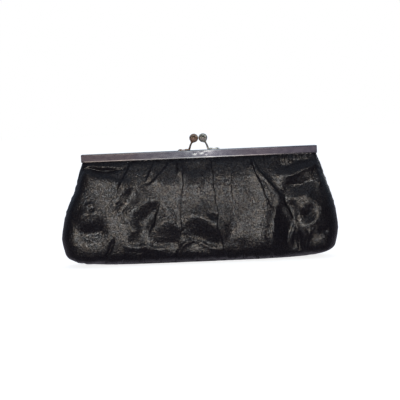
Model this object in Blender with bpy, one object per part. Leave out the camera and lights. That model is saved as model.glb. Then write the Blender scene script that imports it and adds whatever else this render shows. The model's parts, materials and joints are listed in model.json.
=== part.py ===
"""Pleated satin clutch purse with a straight kiss-lock frame.

Modelled closed and standing on its base. Frame of the model: +Z up, front of the
purse faces -Y, long side along X. The origin is the middle of the base.
All driving dimensions are in millimetres and are turned into metres by MM.
"""

import math

import bmesh
import bpy
from mathutils import Vector

MM = 0.001

# ---- metal frame ---------------------------------------------------------
BODY_HEIGHT = 111.5        # base to the top of the frame bars
BAR_HALF_LENGTH = 118.0
BAR_FACE_HEIGHT = 7.8
BAR_DEPTH = 6.4            # front to back of one bar
SHEET = 0.8                # thickness of the bars' sheet metal
CENTRE_GAP = 0.2           # from the middle plane to each half
GAP = 0.3                  # between pieces that touch
HINGE_Z = 64.0             # height of the hinge pins
OPEN_DEG = 32.0            # how far each half swings out

ARM_SHEET = 1.0
FRONT_ARM_X = 113.9        # inner face of the front half's arms
REAR_ARM_X = 111.9         # inner face of the rear half's arms
ARM_EYE_R = 3.2
PIN_R = 1.2
PIN_HOLE_R = 1.25
ARM_TOP_Y = (3.6, 1.2)     # front and back edges of an arm inside its bar
ARM_TOP_Z = 110.2

# ---- kiss lock -----------------------------------------------------------
BALL_R = 4.5
BALL_X = 4.6               # each ball is this far from the middle
BALL_Y = 0.5               # and this far past the middle plane
BALL_Z = BODY_HEIGHT + 12.0
LEAF = (8.6, 21.0)         # from and to, along the bar
LEAF_Y = (5.4, 1.4)
LEAF_THICK = 0.7
LEAF_RIVETS = (12.6, 18.4)
STEM_R = 0.95

# ---- soft parts ----------------------------------------------------------
# height, half width, half depth, squareness of the plan there
STATIONS = (
    (0.8, 108.0, 12.0, 3.6),
    (2.0, 117.5, 13.8, 3.5),
    (4.2, 126.8, 15.9, 3.4),
    (8.5, 134.0, 18.0, 3.2),
    (16.0, 137.0, 20.6, 3.1),
    (29.0, 139.1, 22.6, 3.0),
    (45.0, 136.8, 21.8, 3.2),
    (60.0, 133.0, 19.4, 3.8),
    (72.0, 128.2, 16.4, 5.0),
    (84.0, 124.0, 12.8, 9.0),
    (94.0, 121.0, 9.2, 22.0),
    (99.5, 118.8, 7.0, 45.0),
    (103.3, 117.6, 5.3, 80.0),
)
SATIN = (0.0, 0.6)         # each layer's two faces, inwards from the outside
PADDING = (1.05, 3.0)
LINING = (3.35, 3.85)
POCKET = (4.4, 4.9)
CHANNEL_TOP = 108.6        # top edge of the cloth inside the bars
FLAP_HALF = 109.5
LINING_UPPER_HALF = 109.8  # lining passes inside the arms
PADDING_UPPER_HALF = 107.5
FOLD_SLOPE = math.tan(math.radians(OPEN_DEG / 2 + 0.7))

BASE_HALF = (107.0, 11.7)
BOARD_HALF = (104.2, 8.8)
LINING_BASE_HALF = (103.0, 7.6)

COLOURS = {
    "frame_metal": ((0.30, 0.30, 0.33), 0.22, 1.0),
    "inner_metal": ((0.42, 0.42, 0.42), 0.38, 1.0),
    "clasp_metal": ((0.42, 0.36, 0.30), 0.20, 1.0),
    "black_satin": ((0.020, 0.020, 0.022), 0.42, 0.0),
    "padding": ((0.55, 0.55, 0.53), 0.95, 0.0),
    "lining": ((0.030, 0.030, 0.033), 0.60, 0.0),
    "base_board": ((0.38, 0.30, 0.21), 0.90, 0.0),
    "paper_cord": ((0.66, 0.55, 0.40), 0.95, 0.0),
}


# ---- scene helpers -------------------------------------------------------
def clear_scene():
    for obj in list(bpy.data.objects):
        bpy.data.objects.remove(obj, do_unlink=True)


def material(slot, name):
    colour, rough, metal = COLOURS[slot]
    made = bpy.data.materials.new(name)
    made.use_nodes = True
    shader = made.node_tree.nodes["Principled BSDF"]
    shader.inputs["Base Color"].default_value = (*colour, 1.0)
    shader.inputs["Roughness"].default_value = rough
    shader.inputs["Metallic"].default_value = metal
    return made


def pivot(name, z_mm):
    empty = bpy.data.objects.new(name, None)
    empty.empty_display_size = 0.02
    empty.location = (0, 0, z_mm * MM)
    bpy.context.scene.collection.objects.link(empty)
    return empty


def add(name, bm, slot, parent=None, origin=(0, 0, 0), smooth=35.0):
    """Turns a bmesh drawn in the object's millimetres into an object whose origin is at `origin`."""
    bmesh.ops.recalc_face_normals(bm, faces=bm.faces)
    for v in bm.verts:
        v.co = (v.co - Vector(origin)) * MM
    mesh = bpy.data.meshes.new(name)
    bm.to_mesh(mesh)
    bm.free()
    if smooth:
        mesh.shade_smooth()
        mesh.set_sharp_from_angle(angle=math.radians(smooth))
    obj = bpy.data.objects.new(name, mesh)
    bpy.context.scene.collection.objects.link(obj)
    at = Vector(origin) * MM
    if parent is not None:
        obj.parent = parent
        at = at - parent.location
    obj.location = at
    if slot:
        mesh.materials.append(material(slot, name + "_material"))
    return obj


def cutter(name, bm, parent=None):
    obj = add(name, bm, None, parent=parent, smooth=None)
    obj.hide_render = True
    obj.display_type = "WIRE"
    return obj


def cut(obj, *cutters):
    for tool in cutters:
        mod = obj.modifiers.new("cut_" + tool.name, "BOOLEAN")
        mod.operation = "DIFFERENCE"
        mod.solver = "EXACT"
        mod.object = tool


def bevel(obj, width, segments=2, angle=40.0):
    mod = obj.modifiers.new("edge_round", "BEVEL")
    mod.width = width * MM
    mod.segments = segments
    mod.limit_method = "ANGLE"
    mod.angle_limit = math.radians(angle)


# ---- shape helpers -------------------------------------------------------
def box(x, y, z):
    bm = bmesh.new()
    bmesh.ops.create_cube(bm, size=1.0)
    for v in bm.verts:
        v.co = Vector((
            x[0] + (v.co.x + 0.5) * (x[1] - x[0]),
            y[0] + (v.co.y + 0.5) * (y[1] - y[0]),
            z[0] + (v.co.z + 0.5) * (z[1] - z[0]),
        ))
    return bm


def turned(profile, axis_point, axis="X", steps=20, turn=0.0):
    """Solid of revolution. The profile holds (distance along the axis, radius) pairs,
    with radius 0 at its two ends."""
    bm = bmesh.new()
    rings = []
    for along, radius in profile:
        ring = []
        for k in range(steps if radius > 0 else 1):
            a = 2 * math.pi * k / steps + turn
            p, q = radius * math.cos(a), radius * math.sin(a)
            co = {
                "X": Vector((along, p, q)),
                "Z": Vector((p, q, along)),
            }[axis]
            ring.append(bm.verts.new(co + Vector(axis_point)))
        rings.append(ring)
    for a, b in zip(rings, rings[1:]):
        for k in range(steps):
            n = (k + 1) % steps
            if len(a) == 1:
                bm.faces.new((a[0], b[k], b[n]))
            elif len(b) == 1:
                bm.faces.new((a[k], b[0], a[n]))
            else:
                bm.faces.new((a[k], b[k], b[n], a[n]))
    return bm


def plate(outline, low, high, axis):
    """Extrudes a closed outline of (first, second) pairs between two planes across `axis`."""
    bm = bmesh.new()

    def place(a, b, c):
        return {"X": (c, a, b), "Z": (a, b, c)}[axis]

    lower = [bm.verts.new(place(a, b, low)) for a, b in outline]
    face = bm.faces.new(lower)
    grown = bmesh.ops.extrude_face_region(bm, geom=[face])
    shift = Vector(place(0, 0, high - low))
    for v in (g for g in grown["geom"] if isinstance(g, bmesh.types.BMVert)):
        v.co += shift
    return bm


def oval(half_x, half_y, squareness=3.4, steps=40):
    """Outline of a boat-shaped flat piece, evenly spread along its rim."""
    out = []
    for k in range(steps):
        a = 2 * math.pi * k / steps
        c, s = math.cos(a), math.sin(a)
        out.append((
            math.copysign(half_x * abs(c) ** (2 / squareness), c),
            math.copysign(half_y * abs(s) ** (2 / 2.2), s),
        ))
    return out


def smooth_station(z):
    """Half width, half depth and squareness at a height, on a smooth curve through STATIONS."""
    rows = STATIONS
    z = min(max(z, rows[0][0]), rows[-1][0])
    i = max(k for k in range(len(rows) - 1) if rows[k][0] <= z or k == 0)
    a, b = rows[i], rows[i + 1]
    before, after = rows[max(i - 1, 0)], rows[min(i + 2, len(rows) - 1)]
    h = b[0] - a[0]
    t = (z - a[0]) / h
    out = []
    for k in (1, 2, 3):
        slope = (b[k] - a[k]) / h
        s0 = slope if i == 0 else (b[k] - before[k]) / (b[0] - before[0])
        s1 = slope if i + 2 > len(rows) - 1 else (after[k] - a[k]) / (after[0] - a[0])
        if (a[k] - before[k]) * (b[k] - a[k]) <= 0 and i > 0:
            s0 = 0.0
        if (b[k] - a[k]) * (after[k] - b[k]) <= 0 and i + 2 <= len(rows) - 1:
            s1 = 0.0
        out.append(
            (2 * t**3 - 3 * t**2 + 1) * a[k]
            + (t**3 - 2 * t**2 + t) * h * s0
            + (-2 * t**3 + 3 * t**2) * b[k]
            + (t**3 - t**2) * h * s1
        )
    return out


def spread(count):
    """Column positions from -1 to 1, closer together towards the ends."""
    out = []
    for k in range(count):
        t = 2 * k / (count - 1) - 1
        out.append(math.copysign(1 - (1 - abs(t)) ** 2.2, t))
    return out


# Every layer of the wall is drawn on this one lattice, so that the layers nest.
COLUMNS = spread(17)
LEVELS = (0.8, 2.0, 4.2, 8.5, 16, 26, 37, 48, 59, 69, 78, 86, 93, 98.5, 103.3)
SECTIONS = [smooth_station(z) for z in LEVELS]
BOWS = [
    [max(0.0, 1.0 - abs(s) ** square) ** (1 / 1.9) for s in COLUMNS]
    for _, _, square in SECTIONS
]


def between(values, at):
    """Index and share for a value's place in a rising list."""
    i = max(k for k in range(len(values) - 1) if values[k] <= at or k == 0)
    return i, (at - values[i]) / (values[i + 1] - values[i])


def half_width(z):
    i, t = between(LEVELS, z)
    return SECTIONS[i][0] * (1 - t) + SECTIONS[i + 1][0] * t


def wall_point(side, s, z, inset, half=None):
    """A point of the bag's wall. s runs from -1 to 1 along the width, inset is how far
    inside the outer face it is, and half overrides the half width."""
    i, t = between(LEVELS, z)
    j, u = between(COLUMNS, s)
    rows = []
    for k in (i, i + 1):
        bow = BOWS[k][j] * (1 - u) + BOWS[k][j + 1] * u
        rows.append((SECTIONS[k][0] - inset, (SECTIONS[k][1] - inset) * bow))
    width = rows[0][0] * (1 - t) + rows[1][0] * t
    if half is not None:
        width = min(width, half)
    depth = rows[0][1] * (1 - t) + rows[1][1] * t
    lift = min(max((16.0 - z) / 14.0, 0.0), 1.0)
    return Vector((width * s, side * (CENTRE_GAP + depth), z + inset * lift))


def shell(outer, inner):
    """Closes two equal grids of points into one solid wall."""
    bm = bmesh.new()
    a = [[bm.verts.new(p) for p in row] for row in outer]
    b = [[bm.verts.new(p) for p in row] for row in inner]
    rows, cols = len(a), len(a[0])
    for i in range(rows - 1):
        for j in range(cols - 1):
            bm.faces.new((a[i][j], a[i][j + 1], a[i + 1][j + 1], a[i + 1][j]))
            bm.faces.new((b[i][j], b[i + 1][j], b[i + 1][j + 1], b[i][j + 1]))
    for i in range(rows - 1):
        bm.faces.new((a[i][0], a[i + 1][0], b[i + 1][0], b[i][0]))
        bm.faces.new((a[i][-1], b[i][-1], b[i + 1][-1], a[i + 1][-1]))
    for j in range(cols - 1):
        bm.faces.new((a[0][j], b[0][j], b[0][j + 1], a[0][j + 1]))
        bm.faces.new((a[-1][j], a[-1][j + 1], b[-1][j + 1], b[-1][j]))
    return bm, a, b


def flap(bm, a, b, top):
    """Carries the middle of a wall's top rim straight up into the bar."""
    first, second = a[-1], b[-1]
    inside = [
        j for j in range(len(first) - 1)
        if abs(first[j].co.x) <= FLAP_HALF and abs(first[j + 1].co.x) <= FLAP_HALF
    ]
    rim = [
        f for f in bm.faces
        if len(f.verts) == 4 and any(
            set(f.verts) == {first[j], first[j + 1], second[j], second[j + 1]}
            for j in inside
        )
    ]
    grown = bmesh.ops.extrude_face_region(bm, geom=rim)
    for v in (g for g in grown["geom"] if isinstance(g, bmesh.types.BMVert)):
        v.co.z = top
    bmesh.ops.delete(bm, geom=rim, context="FACES_ONLY")


# ---- metal pieces --------------------------------------------------------
def frame_bar(name, side, parent):
    near, far = side * CENTRE_GAP, side * (CENTRE_GAP + BAR_DEPTH)
    low = BODY_HEIGHT - BAR_FACE_HEIGHT
    y = (min(near, far), max(near, far))
    bar = add(
        name,
        box((-BAR_HALF_LENGTH, BAR_HALF_LENGTH), y, (low, BODY_HEIGHT)),
        "frame_metal", parent, (0, 0, HINGE_Z),
    )
    bevel(bar, 0.5)
    inner = sorted((side * (CENTRE_GAP + SHEET), side * (CENTRE_GAP + BAR_DEPTH - SHEET)))
    channel = cutter(name + "_channel_cutter", box(
        (-BAR_HALF_LENGTH + SHEET, BAR_HALF_LENGTH - SHEET),
        inner, (low - 4, BODY_HEIGHT - SHEET),
    ))
    lip = sorted((-side * 1.0, side * (CENTRE_GAP + SHEET + 0.1)))
    back = cutter(name + "_lip_cutter", box(
        (-BAR_HALF_LENGTH + 3, BAR_HALF_LENGTH - 3), lip, (low - 4, low + 1.1),
    ))
    cut(bar, channel, back)
    holes = [
        cutter(f"{name}_hole_cutter_{k}", turned(
            [(-3, 0), (-3, 1.0), (3, 1.0), (3, 0)],
            (side * x, side * 3.4, BODY_HEIGHT), "Z", 16,
        ))
        for k, x in enumerate(LEAF_RIVETS)
    ]
    cut(bar, *holes)
    return bar


def arm(name, side, end, inner_x, parent):
    """A flat strip welded into one end of a bar, with the hinge eye at its lower end."""
    outer, back = ARM_TOP_Y
    outline = [(outer, ARM_TOP_Z), (back, ARM_TOP_Z), (back, 84.0), (back - 0.5, 79.0)]
    reach = ARM_EYE_R
    for k in range(15):
        a = math.radians(20 - 220 * k / 14)
        outline.append((-reach * math.cos(a), HINGE_Z + reach * math.sin(a)))
    outline.append((outer, 92.0))
    outline = [(side * y, z) for y, z in outline]
    x = sorted((end * inner_x, end * (inner_x + ARM_SHEET)))
    obj = add(name, plate(outline, x[0], x[1], "X"), "inner_metal", parent, (0, 0, HINGE_Z))
    apothem = PIN_HOLE_R / math.cos(math.pi / 24)
    hole = cutter(name + "_hole_cutter", turned(
        [(x[0] - 1, 0), (x[0] - 1, apothem), (x[1] + 1, apothem), (x[1] + 1, 0)],
        (0, 0, HINGE_Z), "X", 24,
    ))
    cut(obj, hole)
    return obj


def hinge_rivet(name, end):
    """Pin through both arms, with a domed head outside and an upset head inside."""
    outer = FRONT_ARM_X + ARM_SHEET + GAP
    inner = REAR_ARM_X - GAP
    profile = [
        (inner - 1.0, 0), (inner - 1.0, 1.5), (inner - 0.7, 2.1), (inner, 2.3),
        (inner, PIN_R), (outer, PIN_R), (outer, 2.7), (outer + 0.5, 2.5),
        (outer + 0.95, 1.5), (outer + 1.1, 0),
    ]
    return add(name, turned([(end * x, r) for x, r in profile], (0, 0, HINGE_Z), "X", 24),
               "inner_metal", None, (end * (outer + inner) / 2, 0, HINGE_Z))


def washer(name, end):
    low = REAR_ARM_X + ARM_SHEET + GAP
    high = FRONT_ARM_X - GAP
    bm = bmesh.new()
    steps, rings = 24, []
    hole = PIN_HOLE_R / math.cos(math.pi / steps)
    for x, r in ((low, hole), (low, 2.9), (high, 2.9), (high, hole)):
        rings.append([
            bm.verts.new((end * x, r * math.cos(2 * math.pi * k / steps),
                          HINGE_Z + r * math.sin(2 * math.pi * k / steps)))
            for k in range(steps)
        ])
    for a, b in zip(rings, rings[1:] + rings[:1]):
        for k in range(steps):
            n = (k + 1) % steps
            bm.faces.new((a[k], b[k], b[n], a[n]))
    return add(name, bm, "inner_metal", None, (end * (low + high) / 2, 0, HINGE_Z))


def clasp_path(side):
    """Centre line of a clasp's stem, from its leaf to inside its ball. The front half's
    clasp stands left of the middle and the rear half's stands right of it."""
    points = [
        (10.2, 3.4, BODY_HEIGHT + GAP + LEAF_THICK * 0.5),
        (9.3, 3.35, BODY_HEIGHT + 1.5),
        (8.75, 3.1, BODY_HEIGHT + 3.2),
        (8.0, 2.4, BODY_HEIGHT + 5.2),
        (6.9, 1.3, BODY_HEIGHT + 7.3),
        (5.85, 0.35, BODY_HEIGHT + 9.0),
        (5.15, -0.2, BODY_HEIGHT + 10.4),
    ]
    return [Vector((side * x, side * y, z)) for x, y, z in points]


def clasp_stem(name, side, parent):
    """Leaf and stem of one clasp, bent from one strip: side is -1 for the front half."""
    x = sorted((side * LEAF[0], side * LEAF[1]))
    y = sorted((side * LEAF_Y[0], side * LEAF_Y[1]))
    z = (BODY_HEIGHT + GAP, BODY_HEIGHT + GAP + LEAF_THICK)
    leaf = add(name, box(x, y, z), "clasp_metal", parent, (0, 0, HINGE_Z))
    bevel(leaf, 0.22, 2)
    path = clasp_path(side)
    bm = bmesh.new()
    steps, rings = 10, []
    radii = (0.3, 1.15, 1.05, STEM_R, STEM_R, 1.0, 1.0)
    for i, p in enumerate(path):
        ahead = path[min(i + 1, len(path) - 1)] - path[max(i - 1, 0)]
        if i == 0:
            ahead = Vector((-side, 0, 0.4))
        ahead.normalize()
        across = ahead.cross(Vector((0, 1, 0))).normalized()
        up = across.cross(ahead).normalized()
        rings.append([
            bm.verts.new(p + radii[i] * (
                across * math.cos(2 * math.pi * k / steps)
                + up * math.sin(2 * math.pi * k / steps)))
            for k in range(steps)
        ])
    for a, b in zip(rings, rings[1:]):
        for k in range(steps):
            n = (k + 1) % steps
            bm.faces.new((a[k], b[k], b[n], a[n]))
    bm.faces.new(rings[0][::-1])
    bm.faces.new(rings[-1])
    post = cutter(name + "_post", bm)
    mod = leaf.modifiers.new("join_post", "BOOLEAN")
    mod.operation = "UNION"
    mod.solver = "EXACT"
    mod.object = post
    holes = [
        cutter(f"{name}_hole_cutter_{k}", turned(
            [(-3, 0), (-3, 1.0), (3, 1.0), (3, 0)],
            (side * at, side * 3.4, BODY_HEIGHT), "Z", 16,
        ))
        for k, at in enumerate(LEAF_RIVETS)
    ]
    cut(leaf, *holes)
    return leaf


def clasp_ball(name, side, parent):
    """Hollow-drilled ball that sits on the tip of its stem."""
    centre = Vector((side * BALL_X, -side * BALL_Y, BALL_Z))
    bm = bmesh.new()
    bmesh.ops.create_uvsphere(bm, u_segments=20, v_segments=12, radius=BALL_R)
    for v in bm.verts:
        v.co += centre
    ball = add(name, bm, "clasp_metal", parent, tuple(centre))
    path = clasp_path(side)
    tip = path[-1]
    way = (tip - path[-2]).normalized()
    deep = tip + way * 0.35
    tool = turned([(0, 0), (0, 1.4), (8, 1.4), (8, 0)], (0, 0, 0), "Z", 12)
    turn = Vector((0, 0, 1)).rotation_difference(-way)
    for v in tool.verts:
        v.co = deep + turn @ v.co
    bmesh.ops.recalc_face_normals(tool, faces=tool.faces)
    cut(ball, cutter(name + "_socket_cutter", tool))
    return ball


def leaf_rivet(name, side, at, parent):
    top = BODY_HEIGHT + GAP + LEAF_THICK + 0.25
    low = BODY_HEIGHT - SHEET
    profile = [
        (low - 0.3, 0), (low - 0.3, 0.7), (top, 0.7), (top, 1.55),
        (top + 0.35, 1.35), (top + 0.6, 0.7), (top + 0.65, 0),
    ]
    return add(name, turned(profile, (side * at, side * 3.4, 0), "Z", 14),
               "clasp_metal", parent, (side * at, side * 3.4, BODY_HEIGHT))


def channel_cord(name, side, parent):
    """Twisted paper cord that wedges the cloth in the bar."""
    ends = BAR_HALF_LENGTH - 8.0
    profile = [(-ends, 0), (-ends, 1.05), (ends, 1.05), (ends, 0)]
    return add(name, turned(profile, (0, side * 3.5, 107.3), "X", 10, math.pi / 10),
               "paper_cord", parent, (0, side * 3.5, 107.3))


# ---- soft pieces ---------------------------------------------------------
def satin_panel(name, side):
    grids = [[[wall_point(side, s, z, d) for s in COLUMNS] for z in LEVELS] for d in SATIN]
    bm, a, b = shell(*grids)
    flap(bm, a, b, CHANNEL_TOP)
    return add(name, bm, "black_satin", None, (0, side * 10, 50))


def lining_half(z):
    """The lining is as wide as the bag below the hinge and passes inside the arms above it."""
    t = min(max((z - 44.0) / 12.0, 0.0), 1.0)
    t = t * t * (3 - 2 * t)
    return (1 - t) * 140.0 + t * LINING_UPPER_HALF


def lining_panel(name, side):
    heights = [z for z in LEVELS if z < 40] + [44, 48, 52, 56] + [z for z in LEVELS if z > 57]
    grids = []
    for d in LINING:
        rows = []
        for z in heights:
            half = min(half_width(z) - LINING[0], lining_half(z)) - (d - LINING[0])
            rows.append([wall_point(side, s, z, d, half) for s in COLUMNS])
        grids.append(rows)
    bm, a, b = shell(*grids)
    flap(bm, a, b, CHANNEL_TOP)
    return add(name, bm, "lining", None, (0, side * 8, 50))


def padding_lower(name, side):
    """Padding below the fold line. Its top edge is cut back so that the upper padding
    can tip outwards over it."""
    grids = []
    for d in PADDING:
        rows = [[wall_point(side, s, z, d) for s in COLUMNS] for z in LEVELS if z < 49]
        top = []
        for s in COLUMNS:
            rim = abs(wall_point(side, s, 59.0, PADDING[0]).y)
            top.append(wall_point(side, s, HINGE_Z - 0.8 - rim * FOLD_SLOPE, d))
        grids.append(rows + [top])
    bm, _, _ = shell(*grids)
    return add(name, bm, "padding", None, (0, side * 15, 30))


def padding_upper(name, side, parent):
    """Padding between the fold line and the bar, between the arms."""
    grids = []
    for d in PADDING:
        rows = []
        for z in (None, 78, 86, 93, 98.5, 101.6):
            row = []
            level = 70.0 if z is None else z
            reach = PADDING_UPPER_HALF / (half_width(level) - d)
            inner = [c for c in COLUMNS if abs(c) < 0.8]
            middle = (inner[-1] + reach) / 2
            for s in [-reach, -middle] + inner + [middle, reach]:
                rim = abs(wall_point(side, s, 69.0, PADDING[0]).y)
                at = HINGE_Z + 0.3 + rim * FOLD_SLOPE if z is None else z
                row.append(wall_point(side, s, at, d))
            for end in (0, -1):
                row[end].x = math.copysign(PADDING_UPPER_HALF, row[end].x)
            rows.append(row)
        grids.append(rows)
    bm, _, _ = shell(*grids)
    return add(name, bm, "padding", parent, (0, 0, HINGE_Z))


def slip_pocket(name, side):
    """Flat pocket sewn to the rear lining."""
    cols = [2 * k / 10 - 1 for k in range(11)]
    grids = []
    for d in POCKET:
        grids.append([
            [wall_point(side, 48.0 * c / (half_width(z) - d), z, d) for c in cols]
            for z in (12, 19, 26, 37, 50)
        ])
    bm, _, _ = shell(*grids)
    return add(name, bm, "lining", None, (0, side * 14, 30))


# ---- the purse -----------------------------------------------------------
def main():
    clear_scene()
    front_axis = pivot("front_half_pivot", HINGE_Z)
    rear_axis = pivot("rear_half_pivot", HINGE_Z)
    for word, side, parent in (("front", -1, front_axis), ("rear", 1, rear_axis)):
        frame_bar(word + "_frame_bar", side, parent)
        inner = FRONT_ARM_X if side < 0 else REAR_ARM_X
        arm(word + "_arm_left", side, -1, inner, parent)
        arm(word + "_arm_right", side, 1, inner, parent)
        clasp_stem(word + "_clasp_stem", side, parent)
        clasp_ball(word + "_clasp_ball", side, parent)
        for letter, at in zip("ab", LEAF_RIVETS):
            leaf_rivet(f"{word}_clasp_rivet_{letter}", side, at, parent)
        channel_cord(word + "_channel_cord", side, parent)
        padding_upper(word + "_padding_upper", side, parent)
        padding_lower(word + "_padding_lower", side)
        satin_panel(word + "_satin_panel", side)
        lining_panel(word + "_lining", side)
    for word, end in (("left", -1), ("right", 1)):
        hinge_rivet("hinge_rivet_" + word, end)
        washer("hinge_washer_" + word, end)
    slip_pocket("slip_pocket", 1)
    add("satin_base", plate(oval(*BASE_HALF), 0.0, 0.5, "Z"), "black_satin")
    add("base_board", plate(oval(*BOARD_HALF), 0.8, 2.8, "Z"), "base_board", None, (0, 0, 1.8))
    add("lining_base", plate(oval(*LINING_BASE_HALF), 3.2, 3.7, "Z"), "lining", None, (0, 0, 3.4))


main()
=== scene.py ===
"""Black satin clutch with a straight metal frame and a kiss-lock clasp. Lengths in this file are in mm and are turned into
metres when a mesh is made. The front faces -Y."""
import json
import math

import bmesh
import bpy
import numpy as np
from mathutils import Matrix, Vector

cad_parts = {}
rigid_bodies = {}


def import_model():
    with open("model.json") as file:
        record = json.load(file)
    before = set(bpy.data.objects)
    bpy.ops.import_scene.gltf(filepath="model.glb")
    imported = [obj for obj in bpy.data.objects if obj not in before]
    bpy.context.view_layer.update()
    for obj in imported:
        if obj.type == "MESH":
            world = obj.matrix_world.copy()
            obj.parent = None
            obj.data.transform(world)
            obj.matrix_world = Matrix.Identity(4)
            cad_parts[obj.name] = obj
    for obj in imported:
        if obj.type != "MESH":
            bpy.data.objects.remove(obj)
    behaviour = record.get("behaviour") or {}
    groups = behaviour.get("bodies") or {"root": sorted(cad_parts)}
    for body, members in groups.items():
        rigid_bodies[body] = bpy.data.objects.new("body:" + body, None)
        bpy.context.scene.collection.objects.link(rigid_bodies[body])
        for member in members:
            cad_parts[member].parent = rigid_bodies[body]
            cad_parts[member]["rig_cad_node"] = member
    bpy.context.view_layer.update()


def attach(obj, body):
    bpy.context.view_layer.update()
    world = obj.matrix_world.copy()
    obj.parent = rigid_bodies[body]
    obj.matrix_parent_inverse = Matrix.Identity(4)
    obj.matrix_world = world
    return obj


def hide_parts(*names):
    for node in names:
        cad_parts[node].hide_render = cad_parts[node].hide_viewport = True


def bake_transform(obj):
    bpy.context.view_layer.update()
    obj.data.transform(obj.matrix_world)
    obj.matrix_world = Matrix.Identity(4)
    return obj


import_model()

MM = 0.001

# ---- the purse's sizes, as in the CAD model ----
BODY_HEIGHT = 111.5
BAR_HALF = 118.0
BAR_LOW = BODY_HEIGHT - 7.8
CENTRE_GAP = 0.2
BAR_DEPTH = 6.4
HINGE_Z = 64.0
STATIONS = np.array((
    (0.8, 108.0, 12.0, 3.6), (2.0, 117.5, 13.8, 3.5), (4.2, 126.8, 15.9, 3.4), (8.5, 134.0, 18.0, 3.2),
    (16.0, 137.0, 20.6, 3.1), (29.0, 139.1, 22.6, 3.0), (45.0, 136.8, 21.8, 3.2), (60.0, 133.0, 19.4, 3.8),
    (72.0, 128.2, 16.4, 5.0), (84.0, 124.0, 12.8, 9.0), (94.0, 121.0, 9.2, 22.0), (99.5, 118.8, 7.0, 45.0),
    (103.3, 117.6, 5.3, 80.0)))
LEAN_Z = (0, 26, 41, 58, 76, 112)
LEAN = (-2.3, -2.3, -1.7, -1.0, 0.3, 0.0)
FILL_Z = (0, 1.5, 3, 6, 10, 15, 22, 30, 45, 60, 72, 80, 86, 92, 99.5, 103.3)  # extra fullness of the stuffed cloth
FILL = (0, 1.0, 2.8, 5.0, 5.2, 4.3, 3.0, 1.8, 0.9, 1.1, 1.8, 2.5, 2.9, 2.8, 1.8, 0)
CORNER_TOP = 103.6  # the panels' top corners are drawn down to here
ROUGH_LOW, ROUGH_HIGH = 0.26, 0.35
FLOOR_TONE, FLOOR_GLOW, FLOOR_SHINE = 0.88, 0.85, (0.28, 0.262, 0.318)
SEEN = (1.0, 1.0, 1.0)
SKY_LOW, SKY_HIGH = (0.055, 0.062, 0.078), (0.38, 0.46, 0.60)
CAM_FAR, CAM_UP, CAM_ROLL, CAM_LENS, CAM_TARGET = 1.1, 4.0, -2.43, 98.9, (-0.0009, -0.0066, 0.0615)


# ---------------------------------------------------------------- shape of the cloth
def smooth(t):
    t = np.clip(t, 0.0, 1.0)
    return t * t * (3 - 2 * t)


def curve(points, count=40):
    """A smooth line through a few points."""
    p = np.array(points, float)
    if len(p) == 2:
        t = np.linspace(0, 1, count)[:, None]
        return p[0] * (1 - t) + p[1] * t
    ext = np.vstack([2 * p[0] - p[1], p, 2 * p[-1] - p[-2]])
    g = np.linspace(0, len(p) - 1, count)
    i = np.minimum(g.astype(int), len(p) - 2)
    t = (g - i)[:, None]
    a, b, c, d = ext[i], ext[i + 1], ext[i + 2], ext[i + 3]
    return 0.5 * (2 * b + (c - a) * t + (2 * a - 5 * b + 4 * c - d) * t**2 + (3 * b - a - 3 * c + d) * t**3)


def along(X, Z, line):
    """Signed distance from a line, positive on the left of its direction, and the share of the way along it."""
    best = np.full(X.shape, 1e9)
    sign = np.ones(X.shape)
    share = np.zeros(X.shape)
    seg = np.diff(line, axis=0)
    length = np.hypot(seg[:, 0], seg[:, 1])
    total = np.concatenate([[0], np.cumsum(length)])
    for i in range(len(seg)):
        ex, ez = seg[i] / length[i]
        dx, dz = X - line[i, 0], Z - line[i, 1]
        t = np.clip(dx * ex + dz * ez, 0, length[i])
        d = (dx - ex * t) ** 2 + (dz - ez * t) ** 2
        m = d < best
        best = np.where(m, d, best)
        sign = np.where(m, np.sign(dz * ex - dx * ez + 1e-12), sign)
        share = np.where(m, (total[i] + t) / total[-1], share)
    return sign * np.sqrt(best), share


def fade(share, a, b):
    return smooth(share / max(a, 1e-6)) * smooth((1 - share) / max(b, 1e-6))


def line_shape(kind, d, s, f, taper):
    if kind == "pleat":      # knife edge: high on one side, level on the other
        height, soft, sharp = f[0], f[1], f[2]
        d = d * (f[3] if len(f) > 3 else 1)
        return height * 0.5 * (1 + np.tanh(d / sharp)) * np.exp(-(np.maximum(d, 0) / soft) ** 1.3)
    if kind == "step":       # slanting face between a high and a low side
        height, wide, left, right = f[0], f[1], f[2], f[3]
        t = d / (wide * (0.4 + 0.6 * taper))
        beyond = np.maximum(np.abs(d) - wide, 0)
        back = np.exp(-(beyond / np.where(d > 0, left, right)) ** 1.5)
        return height * t / (1 + np.abs(t) ** 5) ** 0.2 * back
    if kind == "ridge":
        height, left, right = f[0], f[1], f[2]
        return height * np.exp(-(d / np.where(d > 0, left, right)) ** 2)
    if kind == "vee":        # two flat faces that meet in a sharp crease
        depth, left, right = f[0], f[1], f[2]
        t = np.abs(d) / (np.where(d > 0, left, right) * (0.45 + 0.55 * taper))
        k = 0.12
        return -depth * k * np.log1p(np.exp((1 - t) / k)) * (1 - smooth((t - 1.2) / 0.5))
    raise ValueError(kind)


def reach(kind, f):
    return {"pleat": lambda: f[1] * 3.2, "step": lambda: f[1] + max(f[2], f[3]) * 2.6, "ridge": lambda: max(f[1], f[2]) * 3,
            "vee": lambda: max(f[1], f[2]) * 1.8}[kind]()


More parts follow.
